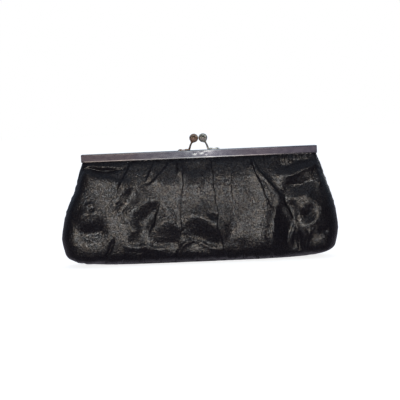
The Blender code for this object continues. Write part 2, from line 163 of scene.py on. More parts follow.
def relief(X, Z, features):
    """Height in mm, outwards, of every named fold and dent at each point (X, Z) of a panel."""
    R = np.zeros_like(X)
    for feature in features:
        kind = feature[0]
        if kind in ("spot", "cone", "ring"):
            (cx, cz), rx, rz, turn, height = feature[1], *feature[2:6]
            pad = 3.2 * max(rx, rz) + (feature[6] * 3 if kind == "ring" else 0)
            m = (abs(X - cx) < pad) & (abs(Z - cz) < pad)
            if not m.any():
                continue
            a = math.radians(turn)
            dx, dz = X[m] - cx, Z[m] - cz
            p = (dx * math.cos(a) + dz * math.sin(a)) / rx
            q = (-dx * math.sin(a) + dz * math.cos(a)) / rz
            r = np.hypot(p, q)
            if kind == "spot":
                R[m] += height * np.exp(-r * r)
            elif kind == "cone":
                k = 0.12
                R[m] += height * k * np.log1p(np.exp((1 - r) / k)) * (1 - smooth((r - 1.2) / 0.5))
            else:
                R[m] += height * np.exp(-((r - 1) * 0.5 * (rx + rz) / feature[6]) ** 4)
            continue
        points, f = feature[1], feature[2]
        ends = feature[3] if len(feature) > 3 else (0.15, 0.15)
        line = curve(points)
        pad = reach(kind, f)
        m = (X > line[:, 0].min() - pad) & (X < line[:, 0].max() + pad) & (Z > line[:, 1].min() - pad) & (Z < line[:, 1].max() + pad)
        if not m.any():
            continue
        d, s = along(X[m], Z[m], line)
        taper = fade(s, *ends)
        R[m] += line_shape(kind, d, s, f, taper) * taper
    return R


def noise(X, Z, wide, high, seed):
    """Smooth random values from -1 to 1 with the given spacing in mm."""
    rng = np.random.RandomState(seed)
    table = rng.uniform(-1, 1, (96, 96))
    gx, gz = X / wide + 31.7, Z / high + 17.3
    i, j = np.floor(gx).astype(int), np.floor(gz).astype(int)
    fx, fz = gx - i, gz - j
    fx, fz = fx * fx * (3 - 2 * fx), fz * fz * (3 - 2 * fz)
    at = lambda a, b: table[a % 96, b % 96]
    return (at(i, j) * (1 - fx) + at(i + 1, j) * fx) * (1 - fz) + (at(i, j + 1) * (1 - fx) + at(i + 1, j + 1) * fx) * fz


def folded(X, Z, features, seed):
    """The relief of a panel, with every fold's line and edge a little uneven, and fine wrinkles over all."""
    wx = X + 1.3 * noise(X, Z, 11, 13, seed) + 0.5 * noise(X, Z, 4.5, 5, seed + 1)
    wz = Z + 1.3 * noise(X, Z, 12, 11, seed + 2) + 0.5 * noise(X, Z, 5, 4.5, seed + 3)
    R = 1.3 * relief(wx, wz, features)
    R += 0.45 * noise(X, Z, 17, 24, seed + 4) + 0.10 * noise(X + 0.25 * Z, Z, 6, 15, seed + 5)
    R += 0.02 * noise(X, Z, 2.6, 5, seed + 6)
    return R


# Folds of the front, each with its line or centre as (across, height). A pleat is a knife edge, a step a slanting face,
# a vee a sharp valley, a ridge a rounded one, and a spot, cone or ring a dent or a swelling.
FRONT_FOLDS = [
    ('step', [(-130.0, 40.9), (-119.0, 40.9), (-108.9, 42.0), (-98.8, 43.5), (-90.3, 44.2)], (2.7, 8.6, 12, 14), (0.42, 0.42)),
    ('cone', (-109.4, 55.0), 3.6, 2.6, 20, -1.4),
    ('ridge', [(-115.2, 59.3), (-113.1, 61.7), (-109.1, 62.0), (-105.7, 59.9)], (0.8, 1.8, 1.8), (0.3, 0.3)),
    ('step', [(-67.3, 78.3), (-72.6, 71.0), (-79.5, 61.8), (-85.5, 52.0), (-88.2, 45.6)], (-1.5, 4.2, 16, 12), (0.3, 0.4)),
    ('step', [(-36.6, 63.9), (-46.1, 59.3), (-58.4, 52.1), (-69.2, 45.3), (-79.5, 37.7)], (-2.2, 7.0, 16, 14), (0.35, 0.4)),
    ('pleat', [(-38.6, 70.5), (-44.4, 51.5), (-49.1, 35.4), (-56.7, 20.2)], (0.85, 9, 0.5), (0.3, 0.3)),
    ('step', [(-76.5, 26.1), (-66.9, 28.2), (-56.9, 29.2)], (1.5, 6.0, 10, 8), (0.45, 0.45)),
    ('step', [(-57.4, 28.2), (-44.3, 28.9), (-31.8, 29.7), (-16.2, 31.0)], (2.3, 10.0, 11, 7), (0.45, 0.4)),
    ('ridge', [(-84.8, 20.4), (-62.4, 16.9), (-44.9, 15.2), (-22.9, 15.8)], (1.2, 3.4, 3.6), (0.35, 0.35)),
    ('pleat', [(-16.6, 103.2), (-17.7, 84.2), (-19.5, 59.2), (-21.1, 34.2), (-23.8, 16.8)], (0.5, 7, 0.4, -1), (0.02, 0.15)),
    ('ridge', [(-20.7, 102.4), (-20.6, 93.1), (-20.4, 84.3)], (0.9, 2.4, 2.4), (0.2, 0.4)),
    ('step', [(-17.9, 85.2), (-4.3, 86.6), (10.1, 84.0)], (-1.3, 8.5, 8, 8), (0.35, 0.35)),
    ('step', [(-25.2, 32.4), (-11.6, 33.8), (-1.6, 32.4), (9.4, 26.9), (23.3, 16.8)], (2.9, 10.5, 13, 7), (0.38, 0.3)),
    ('ridge', [(-25.6, 9.4), (-18.5, 17.1), (-9.1, 22.2), (5.2, 14.6), (25.0, 10.2)], (1.2, 2.6, 2.6), (0.25, 0.25)),
    ('cone', (11.7, 45.4), 5.5, 4.0, -40, -2.0),
    ('pleat', [(11.9, 102.0), (11.9, 90.5), (15.3, 65.2), (16.2, 37.7), (18.5, 22.5), (22.9, 7.3), (26.0, -2.9)], (0.75, 12, 0.42), (0.02, 0.05)),
    ('pleat', [(30.7, 97.2), (31.1, 59.6), (34.2, 36.9), (34.7, 14.3)], (0.5, 8, 0.4), (0.2, 0.3)),
    ('step', [(-46.9, 85.9), (-31.9, 86.3), (-18.2, 84.7)], (-0.5, 8.5, 8, 8), (0.35, 0.3)),
    ('pleat', [(50.2, 100.9), (58.1, 81.0), (64.8, 63.1), (75.3, 42.7)], (0.75, 8, 0.42), (0.02, 0.25)),
    ('pleat', [(52.6, 99.7), (65.6, 80.7), (78.7, 64.6), (85.7, 52.2), (93.1, 31.9)], (1.35, 8, 0.5, -1), (0.06, 0.2)),
    ('ridge', [(58.4, 88.5), (70.2, 70.4), (84.4, 51.0)], (1.1, 4, 4), (0.3, 0.25)),
    ('step', [(82.2, 71.2), (81.8, 49.9), (81.1, 32.4), (80.3, 14.9), (77.0, -3.8)], (-3.7, 8.8, 14, 9), (0.42, 0.3)),
    ('step', [(69.6, 87.0), (89.7, 88.7), (107.5, 94.9), (119.1, 102.9)], (-2.3, 5.6, 7, 7), (0.35, 0.15)),
    ('ridge', [(79.2, 77.6), (90.7, 81.1), (108.5, 88.6), (118.9, 96.9)], (0.6, 2.2, 2.6), (0.25, 0.15)),
    ('step', [(79.9, 64.5), (93.8, 65.9), (115.3, 71.0)], (-2.1, 6.2, 5, 8), (0.4, 0.35)),
    ('spot', (107.0, 41.8), 20.5, 16, 48, 4.1),
    ('cone', (106.8, 42.6), 12, 8.6, 50, -4.6),
    ('ridge', [(92.5, 35.4), (90.2, 22.0), (88.5, 7.0)], (1.4, 2.0, 2.2), (0.25, 0.35)),
    ('ridge', [(109.0, 30.0), (106.3, 18.8), (101.2, 4.0)], (1.2, 2.2, 2.0), (0.25, 0.35)),
    ('vee', [(97.5, 29.2), (97.9, 16.6), (96.2, 4.2)], (1.5, 4, 4), (0.3, 0.3)),
    ('ridge', [(118.2, 93.5), (118.7, 80.9), (119.1, 65.9)], (1.0, 3.0, 3.0), (0.3, 0.3)),
    ('spot', (119.1, 12.7), 13, 8, 10, 1.5),
    ('vee', [(116.0, 28.4), (127.1, 25.4)], (1.6, 5, 5), (0.4, 0.4)),
    ('vee', [(-118.5, 99.5), (-99.1, 95.4), (-72.8, 96.5)], (2.5, 2.4, 5.2), (0.3, 0.45)),
    ('ridge', [(-116.8, 103.4), (-101.3, 103.3), (-81.3, 102.9)], (0.5, 1.2, 1.4), (0.25, 0.35)),
    ('ridge', [(-111.5, 99.2), (-100.3, 98.5), (-82.7, 99.0)], (0.5, 1.0, 1.2), (0.25, 0.35)),
    ('ridge', [(-121.7, 94.6), (-107.0, 88.0), (-88.4, 83.2), (-67.2, 79.8)], (1.6, 3.0, 9.0), (0.15, 0.35)),
    ('pleat', [(-66.2, 105.3), (-74.9, 89.1), (-84.6, 71.5)], (1.0, 9, 0.8), (0.05, 0.35)),
    ('pleat', [(-44.1, 104.4), (-56.0, 79.6)], (0.9, 8, 0.8), (0.05, 0.35)),
    ('pleat', [(-29.6, 103.7), (-41.9, 86.5), (-58.7, 74.7)], (1.1, 9, 0.8), (0.05, 0.35)),
    ('ridge', [(-82.2, 80.4), (-73.5, 79.5), (-64.8, 77.2)], (0.9, 5, 9), (0.3, 0.35)),
    ('ridge', [(-54.9, 75.7), (-42.3, 77.2), (-29.8, 75.7), (-17.5, 71.7)], (0.7, 6, 10), (0.35, 0.35)),
    ('ridge', [(-2.5, 71.0), (12.6, 72.9), (32.7, 73.0), (55.4, 75.6)], (0.4, 6, 11), (0.3, 0.3)),
    ('spot', (-125.4, 66.2), 26, 34, 0, 1.3),
    ('spot', (-115.3, 20.7), 20, 11, 0, 1.2),
    ('vee', [(-87.9, 29.5), (-93.1, 14.7), (-99.7, -0.0)], (1.4, 1.8, 2.6), (0.25, 0.05)),
    ('spot', (46.8, 22.3), 24, 22, 0, 1.3),
    ('spot', (41.2, 25.3), 7, 7, 0, 0.6),
    ('spot', (64.5, 25.6), 8, 8, 0, 0.8),
    ('vee', [(-59.0, 13.8), (-58.9, -1.3)], (1.3, 1.7, 1.7), (0.4, 0.05)),
    ('vee', [(-42.1, 11.1), (-43.6, -1.9)], (1.3, 1.7, 1.7), (0.4, 0.05)),
    ('vee', [(-25.3, 16.9), (-30.1, -2.5)], (1.2, 1.6, 1.6), (0.4, 0.05)),
    ('vee', [(-5.0, 11.5), (-6.6, -2.7)], (1.3, 1.7, 1.7), (0.4, 0.05)),
    ('vee', [(39.0, 9.6), (40.0, -3.4)], (1.3, 1.7, 1.7), (0.4, 0.05)),
    ('vee', [(55.1, 9.9), (55.5, -2.9)], (1.3, 1.7, 1.7), (0.4, 0.05)),
    ('vee', [(70.0, 8.3), (71.1, -2.3)], (1.3, 1.7, 1.7), (0.4, 0.05)),
    ('vee', [(-77.6, 12.1), (-80.2, -0.9)], (1.3, 1.7, 1.7), (0.4, 0.05)),
]

# The rear side has folds of its own.
REAR_FOLDS = [
    ('pleat', [(-96, 103), (-98, 80), (-104, 52)], (1.2, 9, 0.8), (0.05, 0.4)),
    ('pleat', [(-62, 103), (-60, 74), (-66, 40)], (1.5, 10, 0.8), (0.04, 0.35)),
    ('pleat', [(-34, 103), (-30, 82), (-31, 55)], (0.8, 8, 0.7, -1), (0.05, 0.35)),
    ('pleat', [(-4, 103), (-3, 70), (-8, 34), (-10, 10)], (1.6, 12, 0.8), (0.04, 0.15)),
    ('pleat', [(26, 103), (28, 80), (24, 52)], (0.9, 8, 0.7), (0.05, 0.35)),
    ('pleat', [(52, 103), (60, 76), (58, 44), (62, 22)], (1.7, 11, 0.8, -1), (0.04, 0.2)),
    ('pleat', [(84, 103), (92, 80), (97, 58)], (1.2, 8, 0.7, -1), (0.05, 0.35)),
    ('step', [(-104, 48), (-84, 44), (-62, 50)], (1.6, 6, 14, 12), (0.35, 0.35)),
    ('step', [(-48, 34), (-26, 30), (-4, 36)], (2.2, 6, 14, 10), (0.3, 0.3)),
    ('step', [(8, 52), (30, 46), (50, 36)], (2.1, 6, 12, 12), (0.3, 0.3)),
    ('step', [(64, 36), (84, 42), (104, 38)], (1.7, 6, 12, 12), (0.35, 0.35)),
    ('ridge', [(70, 84), (92, 92), (112, 99)], (2.0, 6, 4.5), (0.3, 0.15)),
    ('ridge', [(-112, 96), (-94, 86), (-78, 78)], (1.6, 4.5, 6), (0.15, 0.3)),
    ('step', [(74, 64), (90, 58), (106, 62)], (-1.8, 6, 10, 9), (0.4, 0.4)),
    ('cone', (-92, 70), 7, 5, 30, -1.6),
    ('spot', (-80, 66), 16, 12, 0, 1.4),
    ('spot', (-34, 60), 16, 13, 0, 1.2),
    ('spot', (20, 66), 13, 14, 0, 1.2),
    ('spot', (30, 20), 16, 8, 0, 1.4),
    ('spot', (-88, 22), 18, 9, 0, 1.6),
    ('vee', [(-58, 24), (-55, 12), (-50, 0)], (1.4, 2, 3), (0.2, 0.05)),
    ('vee', [(-20, 16), (-18, 0)], (1.0, 1.7, 1.7), (0.3, 0.05)),
    ('vee', [(16, 14), (14, 0)], (0.9, 1.6, 1.6), (0.3, 0.05)),
    ('vee', [(74, 18), (70, 0)], (1.2, 2, 2), (0.3, 0.05)),
]


def through(zz, v, z):
    """The value at z on a smooth curve through the points (zz, v)."""
    h = np.diff(zz)
    d = np.diff(v) / h
    m = np.zeros(len(zz))
    m[0], m[-1] = d[0], d[-1]
    for i in range(1, len(zz) - 1):
        m[i] = 0 if d[i - 1] * d[i] <= 0 else (v[i + 1] - v[i - 1]) / (zz[i + 1] - zz[i - 1])
    z = np.clip(z, zz[0], zz[-1])
    i = np.clip(np.searchsorted(zz, z, side="right") - 1, 0, len(zz) - 2)
    t = (z - zz[i]) / h[i]
    return (
        (2 * t**3 - 3 * t**2 + 1) * v[i] + (t**3 - 2 * t**2 + t) * h[i] * m[i]
        + (-2 * t**3 + 3 * t**2) * v[i + 1] + (t**3 - t**2) * h[i] * m[i + 1]
    )


def station(z, column):
    """Half width (1), half depth (2) or squareness (3) of the bag at a height."""
    return through(STATIONS[:, 0], STATIONS[:, column], z)


def lean(z):
    """How far the soft body has sagged sideways at a height."""
    return np.interp(z, LEAN_Z, LEAN)


def wall(s, z, inset=0.0, full=True):
    """(x, distance from the middle plane) of the bag's wall at s, -1 to 1 across it, and height z."""
    half, deep, square = station(z, 1) - inset, station(z, 2), station(z, 3)
    if full:
        deep = deep + through(np.array(FILL_Z, float), np.array(FILL, float), z)
        square = square + 20 * smooth((96 - z) / 30) * smooth(z / 12)
    deep = deep - inset
    bow = np.maximum(1 - np.abs(s) ** square, 0.0) ** (1 / 1.9)
    return half * s, CENTRE_GAP + deep * bow


def arc_spread(count, z=40.0, power=1.0):
    """Places across the panel, evenly spread along the cloth."""
    s = np.linspace(-1, 1, 6001)
    x, y = wall(s, np.full_like(s, z))
    length = np.concatenate([[0], np.cumsum(np.hypot(np.diff(x), np.diff(y)))])
    return np.interp(np.linspace(0, length[-1], count), length, s)


# ---------------------------------------------------------------- mesh helpers
def new_object(name, mesh):
    obj = bpy.data.objects.new(name, mesh)
    bpy.context.scene.collection.objects.link(obj)
    return obj


def sheet_mesh(name, points, flip=False, wrap=False, smooth_faces=True):
    """A mesh from a grid of points in mm."""
    rows, cols = points.shape[:2]
    index = np.arange(rows * cols).reshape(rows, cols)
    if wrap:
        index = np.concatenate([index, index[:, :1]], axis=1)
    a, b, c, d = index[:-1, :-1], index[:-1, 1:], index[1:, 1:], index[1:, :-1]
    faces = np.stack([a, d, c, b] if flip else [a, b, c, d], -1).reshape(-1, 4)
    mesh = bpy.data.meshes.new(name)
    co = (points.reshape(-1, 3) * MM).astype(np.float32)
    mesh.vertices.add(len(co))
    mesh.vertices.foreach_set("co", co.ravel())
    mesh.loops.add(faces.size)
    mesh.loops.foreach_set("vertex_index", faces.astype(np.int32).ravel())
    mesh.polygons.add(len(faces))
    mesh.polygons.foreach_set("loop_start", np.arange(0, faces.size, 4, dtype=np.int32))
    mesh.update(calc_edges=True)
    mesh.validate()
    mesh.polygons.foreach_set("use_smooth", np.full(len(mesh.polygons), smooth_faces))
    mesh.update()
    return mesh


def sheet_object(name, points, **more):
    return new_object(name, sheet_mesh(name, points, **more))


def from_bmesh(name, bm, smooth_faces=True):
    bmesh.ops.recalc_face_normals(bm, faces=bm.faces)
    mesh = bpy.data.meshes.new(name)
    for v in bm.verts:
        v.co *= MM
    bm.to_mesh(mesh)
    bm.free()
    mesh.polygons.foreach_set("use_smooth", np.full(len(mesh.polygons), smooth_faces))
    mesh.update()
    return new_object(name, mesh)


def tube(path, radii, steps=24, cap=True, flat=None):
    """Closed tube through points in mm. flat gives an oval section: the share of the radius across the path."""
    path = [Vector(p) for p in path]
    bm = bmesh.new()
    rings = []
    frame_up = Vector((0, 1, 0))
    for i, p in enumerate(path):
        ahead = (path[min(i + 1, len(path) - 1)] - path[max(i - 1, 0)]).normalized()
        across = ahead.cross(frame_up)
        across = across.normalized() if across.length > 1e-5 else Vector((1, 0, 0))
        up = across.cross(ahead).normalized()
        r = radii[i] if hasattr(radii, "__len__") else radii
        k = flat[i] if flat is not None and hasattr(flat, "__len__") else (flat or 1.0)
        rings.append([
            bm.verts.new(p + r * (across * math.cos(2 * math.pi * n / steps) + up * k * math.sin(2 * math.pi * n / steps)))
            for n in range(steps)
        ])
    for a, b in zip(rings, rings[1:]):
        for n in range(steps):
            m = (n + 1) % steps
            bm.faces.new((a[n], b[n], b[m], a[m]))
    if cap:
        bm.faces.new(rings[0][::-1])
        bm.faces.new(rings[-1])
    return bm


def lathe(profile, centre, axis="Z", steps=48):
    """Solid of revolution through (along, radius) pairs."""
    bm = bmesh.new()
    rings = []
    for along_axis, radius in profile:
        ring = []
        for k in range(steps if radius > 1e-6 else 1):
            a = 2 * math.pi * k / steps
            p, q = radius * math.cos(a), radius * math.sin(a)
            co = {"X": (along_axis, p, q), "Z": (p, q, along_axis)}[axis]
            ring.append(bm.verts.new(Vector(co) + Vector(centre)))
        rings.append(ring)
    for a, b in zip(rings, rings[1:]):
        for k in range(steps):
            n = (k + 1) % steps
            if len(a) == 1 and len(b) > 1:
                bm.faces.new((a[0], b[k], b[n]))
            elif len(b) == 1 and len(a) > 1:
                bm.faces.new((a[k], b[0], a[n]))
            elif len(a) > 1:
                bm.faces.new((a[k], b[k], b[n], a[n]))
    return bm


# ---------------------------------------------------------------- materials
class Nodes:
    """A material's node tree, with short ways to add to it."""

    def __init__(self, name, **constants):
        self.mat = bpy.data.materials.new(name)
        self.mat.use_nodes = True
        self.tree = self.mat.node_tree
        self.shader = self.tree.nodes["Principled BSDF"]
        for key, value in constants.items():
            self.shader.inputs[key.replace("_", " ")].default_value = value

    def add(self, kind, **settings):
        node = self.tree.nodes.new("ShaderNode" + kind)
        for key, value in settings.items():
            if hasattr(node, key):
                setattr(node, key, value)
            else:
                node.inputs[key.replace("_", " ")].default_value = value
        return node

    def link(self, a, b):
        self.tree.links.new(a, b)

    def to(self, out, socket):
        self.link(out, self.shader.inputs[socket])

    def place(self, scale=(1, 1, 1), turn=(0, 0, 0)):
        """Points of the object, stretched and turned."""
        coord = self.add("TexCoord")
        mapping = self.add("Mapping")
        mapping.inputs["Scale"].default_value = scale
        mapping.inputs["Rotation"].default_value = turn
        self.link(coord.outputs["Object"], mapping.inputs["Vector"])
        return mapping.outputs["Vector"]

    def noise(self, scale, detail=2.0, rough=0.5, where=None, distort=0.0):
        node = self.add("TexNoise", Scale=scale, Detail=detail, Roughness=rough, Distortion=distort)
        self.link(where or self.place(), node.inputs["Vector"])
        return node.outputs["Fac"]

    def wave(self, scale, where, distort=0.0, detail=1.0, direction="X"):
        node = self.add("TexWave", wave_type="BANDS", bands_direction=direction, Scale=scale, Distortion=distort, Detail=detail)
        self.link(where, node.inputs["Vector"])
        return node.outputs["Fac"]

    def remap(self, value, low, high, to_low, to_high):
        node = self.add("MapRange")
        for key, v in (("From Min", low), ("From Max", high), ("To Min", to_low), ("To Max", to_high)):
            node.inputs[key].default_value = v
        self.link(value, node.inputs["Value"])
        return node.outputs["Result"]

    def math(self, how, a, b):
        node = self.add("Math", operation=how)
        for k, v in enumerate((a, b)):
            if isinstance(v, (int, float)):
                node.inputs[k].default_value = v
            else:
                self.link(v, node.inputs[k])
        return node.outputs[0]

    def ramp(self, value, stops):
        node = self.add("ValToRGB")
        ramp = node.color_ramp
        ramp.elements[0].position, ramp.elements[0].color = stops[0][0], (*stops[0][1], 1)
        ramp.elements[1].position, ramp.elements[1].color = stops[-1][0], (*stops[-1][1], 1)
        for at, colour in stops[1:-1]:
            ramp.elements.new(at).color = (*colour, 1)
        self.link(value, node.inputs["Fac"])
        return node.outputs["Color"]

    def mix(self, factor, a, b, how="MIX"):
        node = self.add("Mix", data_type="RGBA", blend_type=how)
        for socket, v in ((node.inputs[0], factor), (node.inputs[6], a), (node.inputs[7], b)):
            if isinstance(v, (int, float)):
                socket.default_value = v
            elif isinstance(v, tuple):
                socket.default_value = (*v, 1)
            else:
                self.link(v, socket)
        return node.outputs[2]

    def bump(self, height, distance, strength=1.0, before=None):
        node = self.add("Bump", Strength=strength, Distance=distance)
        self.link(height, node.inputs["Height"])
        if before is not None:
            self.link(before, node.inputs["Normal"])
        return node.outputs["Normal"]


def satin_material(name="black_satin", tone=1.0):
    """Black satin: a tight weave whose long floats shine, broken up into small sparkling specks."""
    m = Nodes(name, IOR=1.33)
    speck = m.noise(560, 2.0, 0.6)
    coarse = m.noise(210, 2.0, 0.5)
    cloudy = m.noise(38, 2.0, 0.5)
    base = m.ramp(speck, [(0.3, (0.0013 * tone, 0.0012 * tone, 0.0020 * tone)), (0.7, (0.0031 * tone, 0.0029 * tone, 0.0042 * tone))])
    m.to(m.mix(m.remap(cloudy, 0.35, 0.65, 0.0, 0.5), base, (0.0026 * tone, 0.0023 * tone, 0.0032 * tone)), "Base Color")
    rough = m.math("ADD", m.remap(speck, 0.28, 0.72, ROUGH_LOW, ROUGH_HIGH), m.remap(cloudy, 0.3, 0.7, -0.012, 0.012))
    m.to(rough, "Roughness")
    hue = m.ramp(m.noise(330, 1.0, 0.5), [(0.35, (1.0, 0.93, 0.83)), (0.65, (0.86, 0.94, 1.0))])
    twinkle = m.ramp(m.noise(780, 1.0, 0.5), [(0.39, (0.24, 0.24, 0.24)), (0.61, (1.0, 1.0, 1.0))])
    m.to(m.mix(1.0, hue, twinkle, "MULTIPLY"), "Specular Tint")
    threads = m.place()
    warp = m.wave(2400, threads, 0.6, 1.0, "X")
    weft = m.wave(1500, threads, 0.6, 1.0, "Z")
    weave = m.bump(m.math("ADD", warp, m.math("MULTIPLY", weft, 0.5)), 0.00003, 0.35)
    grain = m.bump(speck, 0.00055, 0.95, weave)
    slub = m.bump(coarse, 0.0004, 0.3, grain)
    m.to(slub, "Normal")
    return m.mat


def lining_material():
    """Plain black polyester taffeta, a little less shiny than the satin."""
    m = Nodes("lining", IOR=1.46)
    speck = m.noise(900, 2.0, 0.6)
    m.to(m.ramp(speck, [(0.3, (0.010, 0.010, 0.011)), (0.7, (0.019, 0.018, 0.020))]), "Base Color")
    m.to(m.remap(speck, 0.3, 0.7, 0.50, 0.68), "Roughness")
    where = m.place()
    cross = m.math("ADD", m.wave(2600, where, 0.4, 1, "X"), m.wave(2600, where, 0.4, 1, "Z"))
    fine = m.bump(cross, 0.00003, 0.3)
    m.to(m.bump(m.noise(160, 3.0, 0.5), 0.0006, 0.35, fine), "Normal")
    return m.mat


def frame_material(name="frame_metal", dark=1.0):
    """Nickel-plated steel: brushed along its length, with smudges, fine scratches, a brownish tone in places, and a
    painted reflection along the bar, brightest in the middle and darker towards the ends.
    """
    m = Nodes(name, Metallic=1.0)
    smudge = m.noise(26, 3.0, 0.55, m.place((0.6, 1, 2.2)))
    cloud = m.noise(14, 2.0, 0.5, m.place((1.0, 1, 1)))
    split = m.add("SeparateXYZ")
    m.link(m.place(), split.inputs[0])
    along_bar = m.math("ADD", m.remap(split.outputs["X"], -0.118, 0.118, 0.0, 1.0), m.remap(cloud, 0.3, 0.7, -0.09, 0.09))
    brushed = m.noise(420, 3.0, 0.6, m.place((0.06, 1.0, 1.0)))
    scratch = m.noise(260, 2.0, 0.5, m.place((0.05, 1.0, 1.0), (0, math.radians(24), 0)))
    # colour along the bar: a brownish tone on the left, plus a painted reflection that is brightest in the middle and
    # darker towards both ends
    tone_and_painted_reflection = m.ramp(along_bar, [
        (0.02, (0.44 * dark, 0.375 * dark, 0.335 * dark)), (0.26, (0.45 * dark, 0.39 * dark, 0.355 * dark)),
        (0.40, (0.50 * dark, 0.53 * dark, 0.54 * dark)), (0.50, (0.92 * dark, 0.93 * dark, 0.90 * dark)),
        (0.60, (0.54 * dark, 0.55 * dark, 0.55 * dark)), (0.74, (0.46 * dark, 0.41 * dark, 0.41 * dark)),
        (0.98, (0.36 * dark, 0.345 * dark, 0.355 * dark))])
    worn = m.mix(m.remap(scratch, 0.66, 0.74, 0.0, 0.55), tone_and_painted_reflection, (0.70 * dark, 0.69 * dark, 0.68 * dark))
    handled = m.mix(m.remap(smudge, 0.5, 0.75, 0.0, 0.35), worn, (0.30 * dark, 0.28 * dark, 0.28 * dark))
    blotch = m.ramp(m.noise(330, 3.0, 0.65, m.place((0.45, 1.0, 1.0))), [(0.36, (0.72, 0.72, 0.76)), (0.62, (1.0, 1.0, 1.0))])
    m.to(m.mix(1.0, handled, blotch, "MULTIPLY"), "Base Color")
    rough = m.math("ADD", m.remap(smudge, 0.3, 0.7, 0.095, 0.15), m.remap(brushed, 0.3, 0.7, -0.015, 0.015))
    m.to(rough, "Roughness")
    ripple = m.bump(m.noise(34, 1.0, 0.5, m.place((1.0, 1, 0.7))), 0.0003, 0.12)
    m.to(m.bump(brushed, 0.00001, 0.4, ripple), "Normal")
    return m.mat


def clasp_material(name="clasp_metal", colour=(0.50, 0.43, 0.37)):
    """Worn plated brass: the plating has gone coppery where fingers rub it."""
    m = Nodes(name, Metallic=1.0)
    patch = m.noise(230, 3.0, 0.55)
    fine = m.noise(1500, 2.0, 0.6)
    r, g, b = colour
    m.to(m.ramp(patch, [
        (0.30, (r * 0.62, g * 0.55, b * 0.48)), (0.50, (r, g, b)), (0.72, (r * 1.12, g * 1.22, b * 1.34))]), "Base Color")
    m.to(m.math("ADD", m.remap(patch, 0.3, 0.7, 0.36, 0.20), m.remap(fine, 0.3, 0.7, -0.04, 0.04)), "Roughness")
    m.to(m.bump(fine, 0.00008, 0.4), "Normal")
    return m.mat


def inner_metal_material():
    """Zinc-plated spring steel, dull and slightly blotched."""
    m = Nodes("inner_metal", Metallic=1.0)
    patch = m.noise(120, 3.0, 0.6)
    m.to(m.ramp(patch, [(0.3, (0.36, 0.36, 0.37)), (0.7, (0.52, 0.515, 0.50))]), "Base Color")
    m.to(m.remap(patch, 0.3, 0.7, 0.32, 0.5), "Roughness")
    m.to(m.bump(m.noise(900, 2.0, 0.6, m.place((1, 1, 0.15))), 0.00005, 0.5), "Normal")
    return m.mat


def board_material():
    """Grey pressed fibreboard with short fibres."""
    m = Nodes("base_board")
    fibre = m.noise(420, 4.0, 0.65, m.place((1, 2.2, 1)))
    m.to(m.ramp(fibre, [(0.3, (0.13, 0.115, 0.10)), (0.7, (0.24, 0.215, 0.185))]), "Base Color")
    m.to(m.remap(fibre, 0.3, 0.7, 0.78, 0.95), "Roughness")
    m.to(m.bump(fibre, 0.0002, 0.5), "Normal")
    return m.mat


def cord_material():
    """Twisted brown paper cord."""
    m = Nodes("paper_cord")
    twist = m.wave(430, m.place((1, 1, 1), (0, 0.7, 0.4)), 1.0, 1, "X")
    m.to(m.ramp(twist, [(0.1, (0.20, 0.14, 0.08)), (0.8, (0.42, 0.31, 0.19))]), "Base Color")
    m.to(m.remap(twist, 0.0, 1.0, 0.9, 0.7), "Roughness")
    m.to(m.bump(twist, 0.0003, 0.6), "Normal")
    return m.mat


def thread_material():
    """Black twisted sewing thread."""
    m = Nodes("thread", IOR=1.45)
    twist = m.wave(2600, m.place((1, 1, 1), (0, 0.6, 0)), 0.5, 1, "X")
    m.to(m.ramp(twist, [(0.1, (0.012, 0.012, 0.013)), (0.9, (0.032, 0.031, 0.033))]), "Base Color")
    m.to(m.remap(twist, 0.0, 1.0, 0.75, 0.5), "Roughness")
    return m.mat


SATIN = satin_material()
LINING = lining_material()
FRAME = frame_material()
COPPERY = clasp_material("clasp_metal_coppery", (0.58, 0.40, 0.27))
OLIVE = clasp_material("clasp_metal_olive", (0.68, 0.64, 0.51))
INNER = inner_metal_material()
BOARD = board_material()
CORD = cord_material()
THREAD = thread_material()


def paint(obj, mat):
    obj.data.materials.clear()
    obj.data.materials.append(mat)
    return obj


def weights(obj):
    """Reads the positions of the object's points, in mm; nothing is set from them."""
    co = np.empty(len(obj.data.vertices) * 3, np.float32)
    obj.data.vertices.foreach_get("co", co)
    co = co.reshape(-1, 3) * 1000


def bends(obj):
    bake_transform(obj)
    weights(obj)


# ---------------------------------------------------------------- satin panels
COLS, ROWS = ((561, 177))


